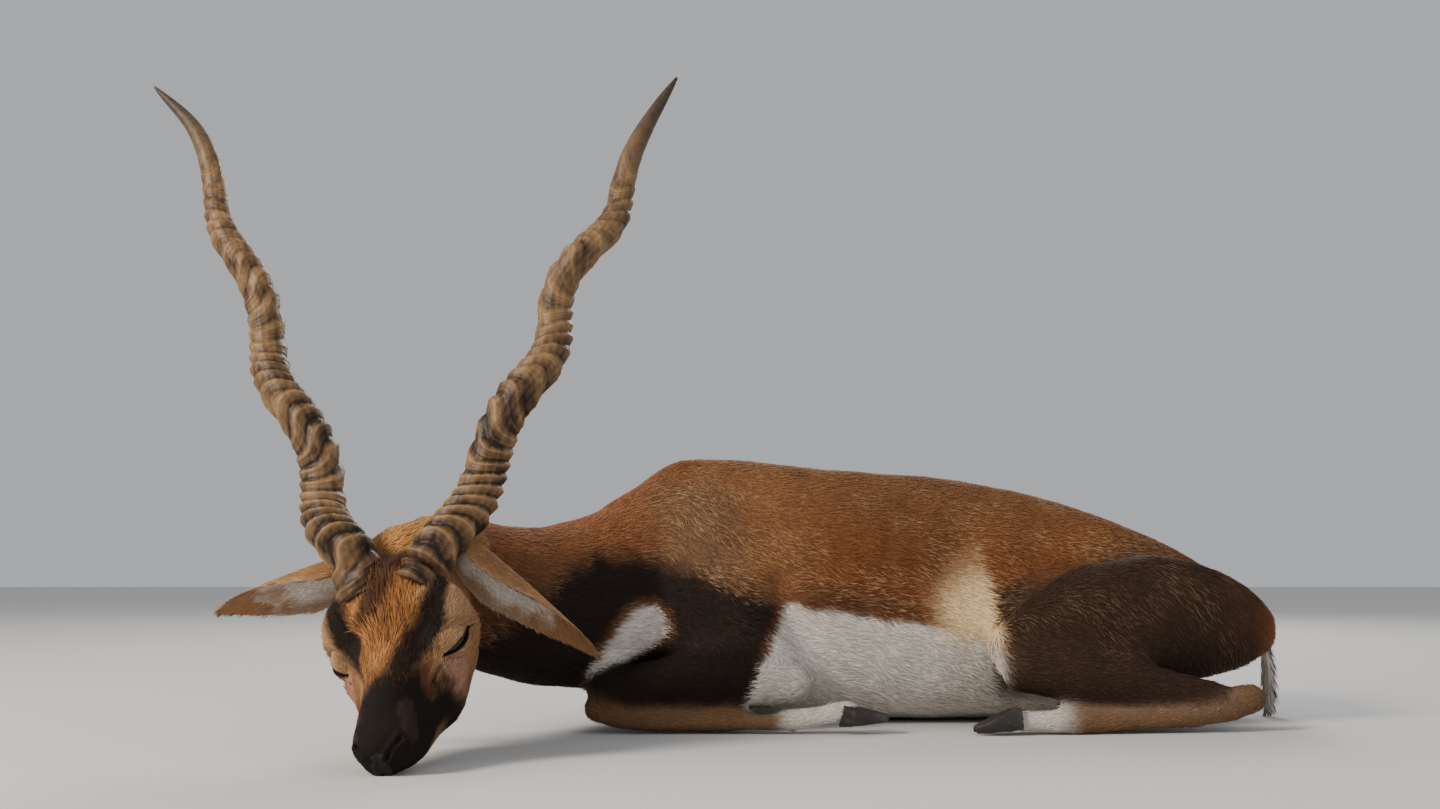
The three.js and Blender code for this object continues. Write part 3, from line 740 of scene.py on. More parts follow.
def ear_mesh(name):
    """A closed leaf, and for each point how far inside, near the rim and along it lies."""
    u = np.linspace(-1, 1, EAR_ARC)
    back = u[::-1]
    shares = np.linspace(*EAR_SPAN, EAR_STEPS)
    rings = [np.concatenate([ear_ring(name, t, u, 0), ear_ring(name, t, back, 1)]) for t in shares]
    mesh = mesh_from_grid("ear_" + name, place(rings))
    with opened(mesh) as bm:
        bmesh.ops.recalc_face_normals(bm, faces=bm.faces)
    inner = np.tile(np.repeat([0.0, 1.0], EAR_ARC), EAR_STEPS)
    rim = np.tile(np.abs(np.concatenate([u, back])), EAR_STEPS)
    return mesh, inner, rim, np.repeat(shares, EAR_ARC * 2)


def ear_colours(points, inner, rim, far):
    ragged = (noise(points, 8, 6.1) - 0.5) * 0.3
    back = mix(TAN, GOLD, smooth(0.2, 0.7, far + ragged))
    back = mix(back, PALE_TAN, smooth(0.8, 1.0, rim))
    hollow = mix(WHITE, TAN, smooth(0.42, 0.72, far + ragged))
    hollow = mix(hollow, TAN, smooth(0.5, 0.85, rim + ragged) * 0.8)
    hollow = mix(hollow, PINKISH, smooth(0.3, 0.0, rim) * smooth(0.7, 0.3, far) * 0.35)
    hollow = mix(hollow, UMBER, smooth(0.12, -0.02, far))
    return mix(back, hollow, inner)


# Skin: the flesh fused into one surface, eased, drawn in by the coat's depth, the head sculpted

NOT_FLESH = ("eye_", "horn_", "ear_")
JOIN_GAP = 1e-6
VOXEL = 0.0058
SKIN_FLOOR = 0.4
FAR = 99.0

hooves = [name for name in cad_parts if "hoof" in name]
flesh = [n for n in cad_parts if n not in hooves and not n.startswith(NOT_FLESH)]


def merged_nodes(names):
    """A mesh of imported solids, their loose triangles joined."""
    mesh = bpy.data.meshes.new("merged")
    with opened(mesh) as bm:
        for name in names:
            bm.from_mesh(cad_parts[name].data)
        bmesh.ops.remove_doubles(bm, verts=bm.verts, dist=JOIN_GAP)
    return mesh


def voxel_mesh(raw, size):
    """One even surface over a mesh."""
    holder = add_object("raw", raw)
    remesh = holder.modifiers.new("fuse", "REMESH")
    remesh.mode = "VOXEL"
    remesh.voxel_size = size
    remesh.adaptivity = 0
    depsgraph = bpy.context.evaluated_depsgraph_get()
    mesh = bpy.data.meshes.new_from_object(holder.evaluated_get(depsgraph))
    bpy.data.objects.remove(holder)
    bpy.data.meshes.remove(raw)
    return mesh


def fused_flesh():
    raw = merged_nodes(flesh)
    with opened(raw) as bm:
        for name in EARS:
            foot, along, opening = ear_frame(name)[:3]
            for reach, radius in EAR_ROOT:
                spot = place(foot + along * reach - opening * 3)
                ball = Matrix.Translation(spot) @ Matrix.Scale(radius / MM, 4)
                bmesh.ops.create_icosphere(bm, subdivisions=3, radius=1, matrix=ball)
    return voxel_mesh(raw, VOXEL)


# Rounded forms raised on both sides of the body: place, reach, height

BODY_FORMS = [
    ((-10, -78, 205), 55, 5),
    ((-52, -96, 128), 42, 6),
    ((34, -108, 84), 34, 4),
    ((60, -98, 150), 40, -4),
    ((262, -96, 150), 46, -5),
    ((300, -84, 190), 30, 4),
    ((470, -96, 130), 60, 5),
    ((560, -40, 120), 26, 3),
    ((150, -112, 110), 90, 3),
    ((-112, -150, 43), 20, 2.5),
    ((536, -132, 34), 16, 2.5),
]
FORM_FALL = 1.6
RIB_PITCH = 26
RIB_HEIGHT = 0.35


def forms_lift(points, forms):
    """How far rounded forms lift each point."""
    lift = np.zeros(len(points))
    for centre, reach, height in forms:
        lift += height * np.exp(-((distance(points, centre) / reach) ** 2) * FORM_FALL)
    return lift


def raise_forms(points, normals, weight):
    x, z = points[:, 0], points[:, 2]
    lift = forms_lift(points, BODY_FORMS) + forms_lift(points * (1, -1, 1), BODY_FORMS)
    lift += (noise(points, 38, 2.2) - 0.5) * 2.4
    ribs = np.sin(x * TURN / RIB_PITCH) * smooth(70, 110, x) * smooth(240, 200, x)
    lift += ribs * smooth(90, 120, z) * smooth(215, 180, z) * RIB_HEIGHT
    return points + normals * (lift * weight)[:, None]


def refine(mesh, wanted):
    """Cuts the faces whose centre, in the animal's frame, is wanted, into four."""
    with opened(mesh) as bm:
        centres = np.array([face.calc_center_median() for face in bm.faces])
        chosen = np.nonzero(wanted(unplace(centres)))[0]
        bm.faces.ensure_lookup_table()
        edges = {edge for i in chosen for edge in bm.faces[int(i)].edges}
        bmesh.ops.subdivide_edges(bm, edges=list(edges), cuts=1, use_grid_fill=True)


HEAD_SHARE = 0.45
HEAD_BACK = -30
FACE_BACK = 48


def on_head(points, back=HEAD_BACK):
    return (survey(points)[0]["head"] > HEAD_SHARE) & (to_head(points)[:, 0] > back)


def on_face(points):
    return on_head(points, FACE_BACK)


MOUTH = [(212, 6, -13), (204, 15, -15), (190, 22, -17), (170, 24.5, -18), (148, 27, -17)]
NOSTRIL = [(213, 7, 0), (208, 13, 5), (200, 19, 6)]
PAD = [(216, 0, 6), (218, 0, -3), (215, 0, -11)]
GLAND = [(124, 39, -1), (132, 35.5, -2), (140, 32.5, -4)]
FINE_ROUND_EYE = 27
FINE_ALONG = ((MOUTH, 6), (NOSTRIL, 9), (PAD, 11))


def on_detail(points):
    m = mirrored(to_head(points))
    near = distance(m, EYE) < FINE_ROUND_EYE
    for line, reach in FINE_ALONG:
        near |= polyline_distance(m, line)[0] < reach
    return on_head(points) & near


# Rounded forms on the face, the same on both sides: place, reach, height

HEAD_FORMS = [
    ((84, 54, 14), 20, 4),
    ((74, 51, 33), 19, 7.5),
    ((84, 58, -2), 17, 3.5),
    ((112, 46, -14), 15, 2.5),
    ((110, 30, 28), 16, -6),
    ((122, 44, -14), 18, 2.5),
    ((92, 46, -34), 24, 2.5),
    ((146, 26, 8), 20, -2.2),
    ((164, 30, -18), 16, -2),
    ((100, 0, 44), 26, 2.5),
    ((160, 0, 24), 22, 1.5),
    ((196, 18, -2), 10, 1.5),
    ((202, 0, 8), 10, 1),
    ((176, 18, -30), 18, 2),
]


# Carved lines: the line, its lip's height, distance and width, its groove's width and depth

CARVED = [
    (MOUTH, 1.1, 3.2, 2.2, 1.1, 2.6),
    (NOSTRIL, 1.6, 4.2, 2.0, 2.0, 7),
    (GLAND, 0.8, 3.4, 1.8, 1.4, 2.4),
]
FOLD_CENTRE = (101, 57, -15)
FOLD_HEIGHT = 0.3
COLLAR_HEIGHT = 3.2


def horn_foot(side):
    return from_head((HORN_ROOT[0], HORN_ROOT[1] * side + HORN_LEAN, HORN_ROOT[2]))


def horn_distance(points, side):
    """Distance from the line on which a horn leaves the head."""
    foot = horn_foot(side)
    tip = np.array(HORNS["left" if side > 0 else "right"]["tip"], float)
    along = unit(tip - foot)
    rel = points - foot
    return np.linalg.norm(rel - (rel @ along)[:, None] * along, axis=1)


def sculpt_head(points, normals, weight):
    h = to_head(points)
    m = mirrored(h)
    lift = forms_lift(m, HEAD_FORMS)
    for line, lip, lip_away, lip_width, width, depth in CARVED:
        away = polyline_distance(m, line)[0]
        lift += lip * bell(away, lip_away, lip_width) - depth * bell(away, 0, width)
    folds = np.sin(distance(m, FOLD_CENTRE) * 1.3)
    lift += folds * FOLD_HEIGHT * smooth(34, 24, distance(m, EYE))
    for side in MIRROR.values():
        collar = bell(horn_distance(points, side), 24, 5) * smooth(30, 40, h[:, 2])
        lift += COLLAR_HEIGHT * collar
    lift += (noise(points, 9, 4.4) - 0.5) * 0.9
    return points + normals * (lift * weight)[:, None]


# The eye's opening, as an almond in the eye's own frame: s along it, t across it, w outwards

ALMOND_HALF = 16.5
ALMOND_UPPER = 3.0
ALMOND_LOWER = 2.4
ALMOND_ALONG = (0.84, -0.54, -0.04)
ALMOND_OUT = (0.46, 0.87, 0.17)
LID = 1.6
LID_RIM = 0.7
BEHIND_LIDS = 2.6
LIDS_REACH = 26


def eye_axes(side):
    along = unit(np.array(ALMOND_ALONG) * (1, side, 1))
    out = np.array(ALMOND_OUT) * (1, side, 1)
    out = unit(out - along * (out @ along))
    up = np.cross(out, along)
    return np.array([along, up if up[2] > 0 else -up, out])


def almond_distance(s, t):
    """Distance outside the opening's edge, less than 0 inside it."""
    bow = 1 - (s / ALMOND_HALF) ** 2
    return np.maximum(t - ALMOND_UPPER * bow, -ALMOND_LOWER * bow - t)


def set_lids(points):
    """Brings the skin round each eye down to the eyeball and opens it along the almond."""
    h = to_head(points)
    margin = np.full(len(points), FAR)
    for side in MIRROR.values():
        centre = np.array(EYE) * (1, side, 1)
        axes = eye_axes(side)
        s, t, w = axes @ (h - centre).T
        around = np.hypot(s, t)
        near = (around < LIDS_REACH) & (w > -4)
        away = almond_distance(s, t)
        ball = np.sqrt(np.maximum(EYE_RADIUS**2 - around**2, 0))
        lid = np.sqrt(np.maximum((EYE_RADIUS + LID) ** 2 - around**2, 0))
        crease = bell(away - 0.8 * (t < 0), 6.2, 1.3) * np.where(t > 0, 1.4, 0.8)
        rim = LID_RIM * bell(away, 1.1, 0.9)
        draped = np.maximum(lid, w * smooth(4, 22, around)) + rim - crease
        settled = draped + (w - draped) * smooth(2, 11, away) * smooth(9, 19, around)
        settled = np.where(around < EYE_RADIUS, np.maximum(settled, lid), settled)
        settled = np.where(away < 0, ball - BEHIND_LIDS, settled)
        moved = centre + np.stack([s, t, settled], axis=1) @ axes
        h = np.where(near[:, None], moved, h)
        margin = np.where(near, np.minimum(margin, away), margin)
    return from_head(h), margin


def eased_head(mesh, rounds):
    """The skin's points, even on the head, with the triangles and each point's share of head."""
    points, triangles = animal_arrays(mesh)
    weight = smooth(0.3, 0.8, survey(points)[0]["head"])
    return relax(points, mesh_edges(mesh), weight, rounds), triangles, weight


def build_skin():
    """The skin's mesh, and how far each point lies from the edge of an eye's opening."""
    mesh = fused_flesh()
    points, triangles = animal_arrays(mesh)
    edges = mesh_edges(mesh)
    by_part = survey(points)[0]
    ease = np.clip(part_value(by_part, "ease") / FULL_EASE, 0.05, 1)
    points = relax(points, edges, ease, rounds=16, keep_volume=False)
    seam = by_part["trunk"] * part_sum(by_part, "hind_thigh", "fore_upper", "neck")
    points = relax(points, edges, np.clip(seam * 5, 0, 1), rounds=30, keep_volume=False)
    points = relax(points, edges, 1.0, rounds=5)
    body = 1 - np.clip(by_part["head"] * 1.5, 0, 1)
    points = raise_forms(points, vertex_normals(points, triangles), body)
    depth = part_value(by_part, "depth")
    points = points - vertex_normals(points, triangles) * depth[:, None]
    points[:, 2] = np.maximum(points[:, 2], SKIN_FLOOR)
    set_points(mesh, place(points))
    refine(mesh, on_head)
    refine(mesh, on_face)
    set_points(mesh, place(eased_head(mesh, rounds=14)[0]))
    refine(mesh, on_detail)
    points, triangles, weight = eased_head(mesh, rounds=3)
    points = sculpt_head(points, vertex_normals(points, triangles), weight)
    points, margin = set_lids(points)
    points[:, 2] = np.maximum(points[:, 2], SKIN_FLOOR)
    set_points(mesh, place(points))
    mesh.name = "skin"
    return mesh, margin


# Materials

def new_material(name, roughness, specular=0.5):
    material = bpy.data.materials.new(name)
    material.use_nodes = True
    tree = material.node_tree
    shader = tree.nodes["Principled BSDF"]
    shader.inputs["Roughness"].default_value = roughness
    shader.inputs["Specular IOR Level"].default_value = specular
    return material, tree, shader


def object_noise(tree, scale, detail, roughness=0.6):
    coordinates = tree.nodes.new("ShaderNodeTexCoord")
    grain = tree.nodes.new("ShaderNodeTexNoise")
    grain.inputs["Scale"].default_value = scale
    grain.inputs["Detail"].default_value = detail
    grain.inputs["Roughness"].default_value = roughness
    tree.links.new(coordinates.outputs["Object"], grain.inputs["Vector"])
    return grain.outputs["Fac"]


def ramp(tree, source, low, high):
    """Colours from the source, between two pairs of a place and a colour."""
    node = tree.nodes.new("ShaderNodeValToRGB")
    for stop, (position, colour) in zip(node.color_ramp.elements, (low, high)):
        stop.position = position
        stop.color = (*colour, 1)
    tree.links.new(source, node.inputs["Fac"])
    return node.outputs["Color"]


def multiply(tree, first, second):
    node = tree.nodes.new("ShaderNodeMix")
    node.data_type = "RGBA"
    node.blend_type = "MULTIPLY"
    node.inputs["Factor"].default_value = 1
    tree.links.new(first, node.inputs["A"])
    tree.links.new(second, node.inputs["B"])
    return node.outputs["Result"]


def bump(tree, shader, height, strength, depth):
    node = tree.nodes.new("ShaderNodeBump")
    node.inputs["Strength"].default_value = strength
    node.inputs["Distance"].default_value = depth
    tree.links.new(height, node.inputs["Height"])
    tree.links.new(node.outputs["Normal"], shader.inputs["Normal"])


def painted(tree):
    node = tree.nodes.new("ShaderNodeAttribute")
    node.attribute_name = PAINT
    return node.outputs["Color"]


def streaked_material(name, grain, low, high, roughness, specular=0.5, relief=None):
    """Painted colour under a fine grain, given by its scale, detail and roughness, that runs
    between two pairs of a place and a tone; relief is the grain's strength and depth."""
    material, tree, shader = new_material(name, roughness, specular)
    fibres = object_noise(tree, *grain)
    streaks = ramp(tree, fibres, (low[0], (low[1],) * 3), (high[0], (high[1],) * 3))
    tree.links.new(multiply(tree, painted(tree), streaks), shader.inputs["Base Color"])
    if relief:
        bump(tree, shader, fibres, *relief)
    return material


def nose_material():
    material, tree, shader = new_material("nose_pad", roughness=0.55, specular=0.16)
    pits = object_noise(tree, 700, 2)
    tone = ramp(tree, pits, (0.3, (0.006, 0.005, 0.005)), (0.75, (0.02, 0.016, 0.014)))
    tree.links.new(tone, shader.inputs["Base Color"])
    bump(tree, shader, pits, strength=0.9, depth=0.0008)
    return material


def eye_material():
    material, tree, shader = new_material("eye_dark", roughness=0.12, specular=0.3)
    tree.links.new(painted(tree), shader.inputs["Base Color"])
    shader.inputs["Coat Weight"].default_value = 0.25
    shader.inputs["Coat Roughness"].default_value = 0.04
    return material


COAT = streaked_material("coat_hair", grain=(900, 2), low=(0.3, 0.78), high=(0.7, 1.05),
                         roughness=0.8, specular=0.18)
SKIN = streaked_material("skin_short_hair", grain=(1100, 4, 0.7), low=(0.3, 0.6), high=(0.72, 1.0),
                         roughness=0.85, specular=0.2, relief=(0.5, 0.0008))
HORN = streaked_material("horn_ringed", grain=(160, 6, 0.65), low=(0.3, 0.6), high=(0.7, 1.15),
                         roughness=0.45, specular=0.22, relief=(0.5, 0.001))
HOOF = streaked_material("hoof_horn", grain=(240, 5, 0.6), low=(0.3, 0.6), high=(0.7, 1.1),
                         roughness=0.45, relief=(0.4, 0.0006))
NOSE = nose_material()
EYEBALL_LOOK = eye_material()


BAKE_MAP = "OFBake"


def unwrap(piece):
    """An unwrap of the piece's own shape, as its map for baking."""
    piece.data.uv_layers.new(name=BAKE_MAP)
    bpy.ops.object.select_all(action="DESELECT")
    piece.select_set(True)
    bpy.context.view_layer.objects.active = piece
    bpy.ops.object.mode_set(mode="EDIT")
    bpy.ops.mesh.select_all(action="SELECT")
    bpy.ops.uv.smart_project(angle_limit=math.radians(66), island_margin=0.002)
    bpy.ops.object.mode_set(mode="OBJECT")


def add_ears(mesh):
    """Adds the leaves of the ears to the skin's mesh, and returns their points' colours."""
    colours = []
    with opened(mesh) as bm:
        for name in EARS:
            leaf, *places = ear_mesh(name)
            colours.append(ear_colours(animal_arrays(leaf)[0], *places))
            bm.from_mesh(leaf)
            bpy.data.meshes.remove(leaf)
    return np.concatenate(colours)


def nose_faces(mesh, points):
    """Gives the bare faces of the nose their own material, the mesh's second."""
    bare = smooth(9, 7, polyline_distance(to_head(points), PAD)[0]) > 0.5
    slots = [int(bare[polygon.vertices[0]]) for polygon in mesh.polygons]
    mesh.polygons.foreach_set("material_index", slots)


# The skin with its ears, its colours and what the coat needs to know of each point

SKIN_SHADE = 0.85

skin_mesh, lid_margin = build_skin()
ear_start = len(skin_mesh.vertices)
ear_paint = add_ears(skin_mesh)
ear_points = len(ear_paint)
lid_margin = np.append(lid_margin, np.full(ear_points, FAR))
skin = new_piece("skin", skin_mesh, flesh + ["ear_left", "ear_right"])
skin_points, skin_triangles = animal_arrays(skin_mesh)
skin_normals = vertex_normals(skin_points, skin_triangles)
skin_parts, skin_flow = survey(skin_points)
for part_share in skin_parts.values():
    part_share[ear_start:] = 0
skin_parts["ear"] = np.zeros(len(skin_points))
skin_parts["ear"][ear_start:] = 1
ear_ways = [ear_frame(ear_name)[1] for ear_name in EARS]
skin_flow[ear_start:] = np.repeat(ear_ways, ear_points // len(EARS), axis=0)
skin_colours = markings(skin_points, skin_normals, skin_parts)
skin_colours[ear_start:] = ear_paint
skin_colours = mix(skin_colours, BLACK, smooth(2.0, 0.5, lid_margin))
finish_mesh(skin_mesh, skin_colours * SKIN_SHADE, SKIN)
skin_mesh.materials.append(NOSE)
nose_faces(skin_mesh, skin_points)
unwrap(skin)


# Horns: a ringed corkscrew on each side, from the forehead to the tip

def ring_slope(phase):
    """Height within a ridge, 0 in the notch and 1 at the crest, which lies beyond the middle."""
    u = phase - np.floor(phase)
    return np.minimum(u / RING_CREST, (1 - u) / (1 - RING_CREST))


def ring_profile(phase):
    """A full ridge between two sharp notches."""
    q = ring_slope(phase)
    return 0.6 * (1 - (1 - q) ** 3) + 0.4 * q**3


def horn_line(name):
    """The corkscrew's middle line: shares along it, its outer side, centres, two ways across
    and the length from root to tip."""
    side = MIRROR[name]
    shape = HORNS[name]
    foot = horn_foot(side)
    reach = np.array(shape["tip"], float) - foot
    length = np.linalg.norm(reach)
    along = reach / length
    east = unit(np.array([1, 0, 0]) - along * along[0])
    away = np.cross(along, east)
    t = np.linspace(-HORN_ROOT_DEPTH / length, 1, HORN_STEPS)
    s = np.clip(t, 0, 1)
    turn = shape["start"] + shape["turns"] * TURN * s ** shape["pace"]
    swing = HORN_SWING * smooth(0, 0.05, s) * (1 - smooth(0.6, 1, s))
    outwards = rows_at(shape["bend"], s)[:, 0]
    centres = foot + t[:, None] * length * along
    centres = centres + (side * (swing * np.cos(turn) + outwards))[:, None] * east
    centres = centres + (swing * np.sin(turn))[:, None] * away
    heading = unit(np.gradient(centres, axis=0))
    first = unit(east - heading * (heading @ east)[:, None])
    outer_side = turn if side > 0 else math.pi - turn
    return t, outer_side, centres, first, np.cross(heading, first), length


def horn_piece(name):
    t, turn, centres, first, second, length = horn_line(name)
    centres = centres[:, None]
    t = t[:, None]
    s = np.clip(t, 0, 1)
    angle = np.linspace(0, TURN, HORN_SIDES, endpoint=False)
    grid = (HORN_STEPS, HORN_SIDES)
    # rings: lower and closer on the inside of each turn, and doubled there near the root
    facing = np.cos(angle - turn[:, None])
    sway = noise(centres, 40, 3.3)
    count = length / RING_GROWTH * np.log(1 + RING_GROWTH * t / RING_FIRST)
    phase = count - (0.8 - 0.35 * s) * facing
    phase = phase + 0.06 * np.sin(3 * angle + 11 * sway) + 0.35 * sway
    ringed = 1 - smooth(HORN_RINGED - 0.14, HORN_RINGED + 0.05, s)
    small = ring_profile(phase * 2 + 0.2) * smooth(0.6, 0.2, s) * smooth(0.2, -0.8, facing)
    girth = rows_at(HORN_RADIUS, s[:, 0])
    size = (girth / HORN_GIRTH) ** 1.2
    uneven = 0.75 + 0.5 * noise(np.floor(phase).reshape(-1, 1) * (7.3, 0, 0), 9, 2.4)
    height = RING_HEIGHT * ringed * (0.76 + 0.24 * facing) * size * uneven.reshape(grid)
    # fine fibres along the horn and growth lines round it
    fibres = np.sin(angle * 17 + 8 * sway) + 0.6 * np.sin(angle * 29 - 5 * sway)
    growth = np.sin(TURN * phase * 5 + 3 * sway)
    grooves = FIBRE_HEIGHT * fibres * size + GROWTH_HEIGHT * growth * ringed
    radius = girth - RING_NOTCH * ringed * size + ring_profile(phase) * height
    radius = radius + small * SMALL_RING_HEIGHT * size * ringed + grooves
    spots = centres + first[:, None] * (np.cos(angle) * radius)[..., None]
    spots = spots + second[:, None] * (np.sin(angle) * radius)[..., None]
    mesh = mesh_from_grid("horn_" + name, place(spots))
    # colour: dark notches, painted shade, and pale crests, partly wear and partly painted
    # highlight, calmer towards the tip, which is smooth and dark
    slope = ring_slope(phase)
    tone = 0.1 + 0.26 * slope + 0.55 * slope**5 - 0.35 * bell(slope, 0, 0.16)
    calm = 0.68 - 0.4 * smooth(0.1, 0.5, s)
    tone = 0.29 + (tone - 0.36) * calm + 0.14 * smooth(0.1, 0.6, s)
    tone = tone + small * 0.1 + 0.06 * growth + 0.05 * fibres
    tone = tone + 0.55 * (noise(spots, 14) - 0.5)
    tone = tone + 0.3 * (noise(spots * (1, 1, 0.3), 3, 6.6) - 0.5)
    tone = tone * ringed + 0.4 * (1 - ringed)
    far = np.repeat(s, HORN_SIDES)
    colour = mix(HORN_DEEP, HORN_PALE, np.clip(tone, 0, 1).ravel())
    colour = mix(colour, HORN_TIP, smooth(HORN_RINGED - 0.1, 0.97, far) * 0.9)
    colour = mix(colour, HORN_DEEP, smooth(0.05, 0.0, far) * 0.5)
    finish_mesh(mesh, colour, HORN)
    new_piece("horn_piece_" + name, mesh, ["horn_" + name])


for horn_name in HORNS:
    horn_piece(horn_name)


# Eyes: dark balls with a level pupil

def eye_piece(name):
    side = MIRROR[name]
    mesh = bpy.data.meshes.new("eye_" + name)
    with opened(mesh) as bm:
        bmesh.ops.create_uvsphere(bm, u_segments=48, v_segments=28, radius=EYE_RADIUS)
    # the ball's pole looks outwards
    points = read(mesh.vertices, "co", 3)
    s, t, w = points.T
    iris = smooth(9.5, 8.5, np.hypot(s, t)) * (w > 0)
    pupil = smooth(1.1, 0.8, np.hypot(s / 6.5, t / 2.6)) * (w > 0)
    colour = mix(mix(EYEBALL, IRIS, iris), PUPIL, pupil)
    axes = eye_axes(side)
    centre = np.array(EYE) * (1, side, 1)
    set_points(mesh, place(from_head(centre + points @ axes)))
    if np.linalg.det(axes) < 0:
        mesh.flip_normals()
    finish_mesh(mesh, colour, EYEBALL_LOOK)
    new_piece("eyeball_" + name, mesh, ["eye_" + name])


for eye_name in MIRROR:
    eye_piece(eye_name)


# Hooves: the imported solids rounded, with growth rings and worn patches

HOOF_VOXEL = 0.0013
HOOF_FLOOR = 0.1
HOOF_RING_PITCH = 3.4
HOOF_RING_HEIGHT = 0.16
HOOF_ROUGHNESS = 0.3


def hoof_piece(name):
    mesh = voxel_mesh(merged_nodes([name]), HOOF_VOXEL)
    points, triangles = mesh_arrays(mesh)
    points = relax(points * MM, mesh_edges(mesh), 1.0, rounds=9)
    normals = vertex_normals(points, triangles)
    spread = points - points.mean(axis=0)
    along = np.linalg.eigh(spread.T @ spread)[1][:, 2]
    along = along * (1 if along[0] > 0 else -1)
    reach = spread @ along + 0.3 * spread[:, 2]
    rings = np.sin(reach * TURN / HOOF_RING_PITCH + 2 * noise(points, 12, 4.1))
    lift = rings * HOOF_RING_HEIGHT + (noise(points, 3, 8.2) - 0.5) * HOOF_ROUGHNESS
    points = points + normals * lift[:, None]
    points[:, 2] = np.maximum(points[:, 2], HOOF_FLOOR)
    set_points(mesh, points / MM)
    worn = smooth(0.55, 0.95, noise(points * (0.4, 1, 1), 2.4, 3.3)) * 0.5
    worn = worn + smooth(8, 24, reach) * 0.25 + 0.15 * rings
    finish_mesh(mesh, mix(HOOF_DEEP, HOOF_WORN, np.clip(worn, 0, 1)), HOOF)
    new_piece(name + "_wall", mesh, [name])


for hoof_name in hooves:
    hoof_piece(hoof_name)


# Coat: tufts, each a thin solid blade that bends along the lie of the hair

TUFT_FACES = np.array([
    (0, 2, 1), (0, 1, 4), (0, 4, 3), (0, 3, 2), (2, 4, 1), (2, 3, 5), (2, 5, 4), (3, 4, 5),
])

# For each corner: how far along (share of the length), up (shares of the rise and of the
# thickness, less the depth in the skin) and across (share of the width) it lies, its share
# of the tip's colour, and how far its shading leans across and along the hair
TUFT_CORNERS = np.array([
    (0, 0, 0, 0.25, -0.3, 0, -0.45, -0.25),
    (0, 0, 0, 0.25, 0.3, 0, 0.45, -0.25),
    (0.3, 0.35, 1, 0, 0, 0.35, 0, -0.2),
    (0.45, 0.45, 0, 0, -0.5, 0.5, -0.5, 0),
    (0.45, 0.45, 0, 0, 0.5, 0.5, 0.5, 0),
    (1, 0.95, 0, 0, 0, 1, 0, 0.25),
])
TUFT_THICKNESS = 0.22
TUFT_FLOOR = 0.15
FLOW_JITTER = 0.17
FLOW_DRIFT = 0.7
BAKE_PATCH = 0.003
PATCH_CORNERS = np.array([(-0.5, -0.5), (0.5, -0.5), (0, -0.3), (-0.4, 0.1), (0.4, 0.1), (0, 0.5)])
ROOT_TONE = 0.78
TIP_TONE = 1.1


def triangle_uvs(mesh):
    """The corners of each triangle on the map for baking."""
    uvs = read(mesh.uv_layers[BAKE_MAP].uv, "vector", 2)
    return uvs[read(mesh.loop_triangles, "loops", 3, int)]


def inside_triangles(shares, corner_values):
    """Values at places inside triangles, from those at their corners."""
    return np.einsum("ni,nik->nk", shares, corner_values)


skin_uv_corners = triangle_uvs(skin_mesh)


def scatter(areas, count):
    """Evenly spread picks of triangles, weighted, with a place inside each."""
    total = np.cumsum(areas)
    marks = (np.arange(count) + rng.random(count)) / count * total[-1]
    chosen = np.minimum(np.searchsorted(total, marks), len(areas) - 1)
    a, b = rng.random((2, count))
    fold = a + b > 1
    a = np.where(fold, 1 - a, a)
    b = np.where(fold, 1 - b, b)
    return chosen, np.stack([1 - a - b, a, b], axis=1)


def tuft_mesh(name, roots, normals, flow, size, colours, uvs):
    """Tufts from their roots: size is length, width and lift, colours are root's and tip's."""
    count = len(roots)
    along, rise, thick, sunk, across, tipped, lean, bow = TUFT_CORNERS.T[:, None, :, None]
    length, width, lift = (value[:, None, None] for value in size)
    root_colour, tip_colour = (value[:, None] for value in colours)
    side = unit(np.cross(normals, flow))
    flow = np.cross(side, normals)[:, None]
    side = side[:, None]
    normals = normals[:, None]
    up = lift * length * rise + width * TUFT_THICKNESS * thick - sunk
    corners = roots[:, None] + flow * length * along + normals * up + side * width * across
    corners[..., 2] = np.maximum(corners[..., 2], TUFT_FLOOR)
    faces = (np.arange(count)[:, None, None] * len(TUFT_CORNERS) + TUFT_FACES).reshape(-1, 3)
    mesh = bpy.data.meshes.new(name)
    mesh.vertices.add(count * len(TUFT_CORNERS))
    mesh.vertices.foreach_set("co", place(corners).ravel())
    mesh.loops.add(len(faces) * 3)
    mesh.loops.foreach_set("vertex_index", faces.ravel())
    mesh.polygons.add(len(faces))
    mesh.polygons.foreach_set("loop_start", np.arange(len(faces)) * 3)
    mesh.update(calc_edges=True)
    paint(mesh, (root_colour + (tip_colour - root_colour) * tipped).reshape(-1, 3))
    spots = (uvs[:, None] + PATCH_CORNERS * BAKE_PATCH).reshape(-1, 2)
    layer = mesh.uv_layers.new(name=BAKE_MAP)
    layer.uv.foreach_set("vector", spots[faces.ravel()].ravel())
    rounded = unit(normals + side * lean + flow * bow)
    mesh.normals_split_custom_set_from_vertices(rounded.reshape(-1, 3))
    mesh.materials.append(COAT)
    return mesh


def grizzle(points, by_part):
    """How pale each tuft's tip is beside its root."""
    body = part_sum(by_part, "trunk", "fore_upper", "hind_thigh") + by_part["neck"] * 0.5
    body = body * (1 - 0.5 * by_part["hind_thigh"])
    patches = smooth(0.35, 0.7, noise(points, 34, 5.5))
    return body * rng.random(len(points)) ** 3 * (0.15 + 0.75 * patches)


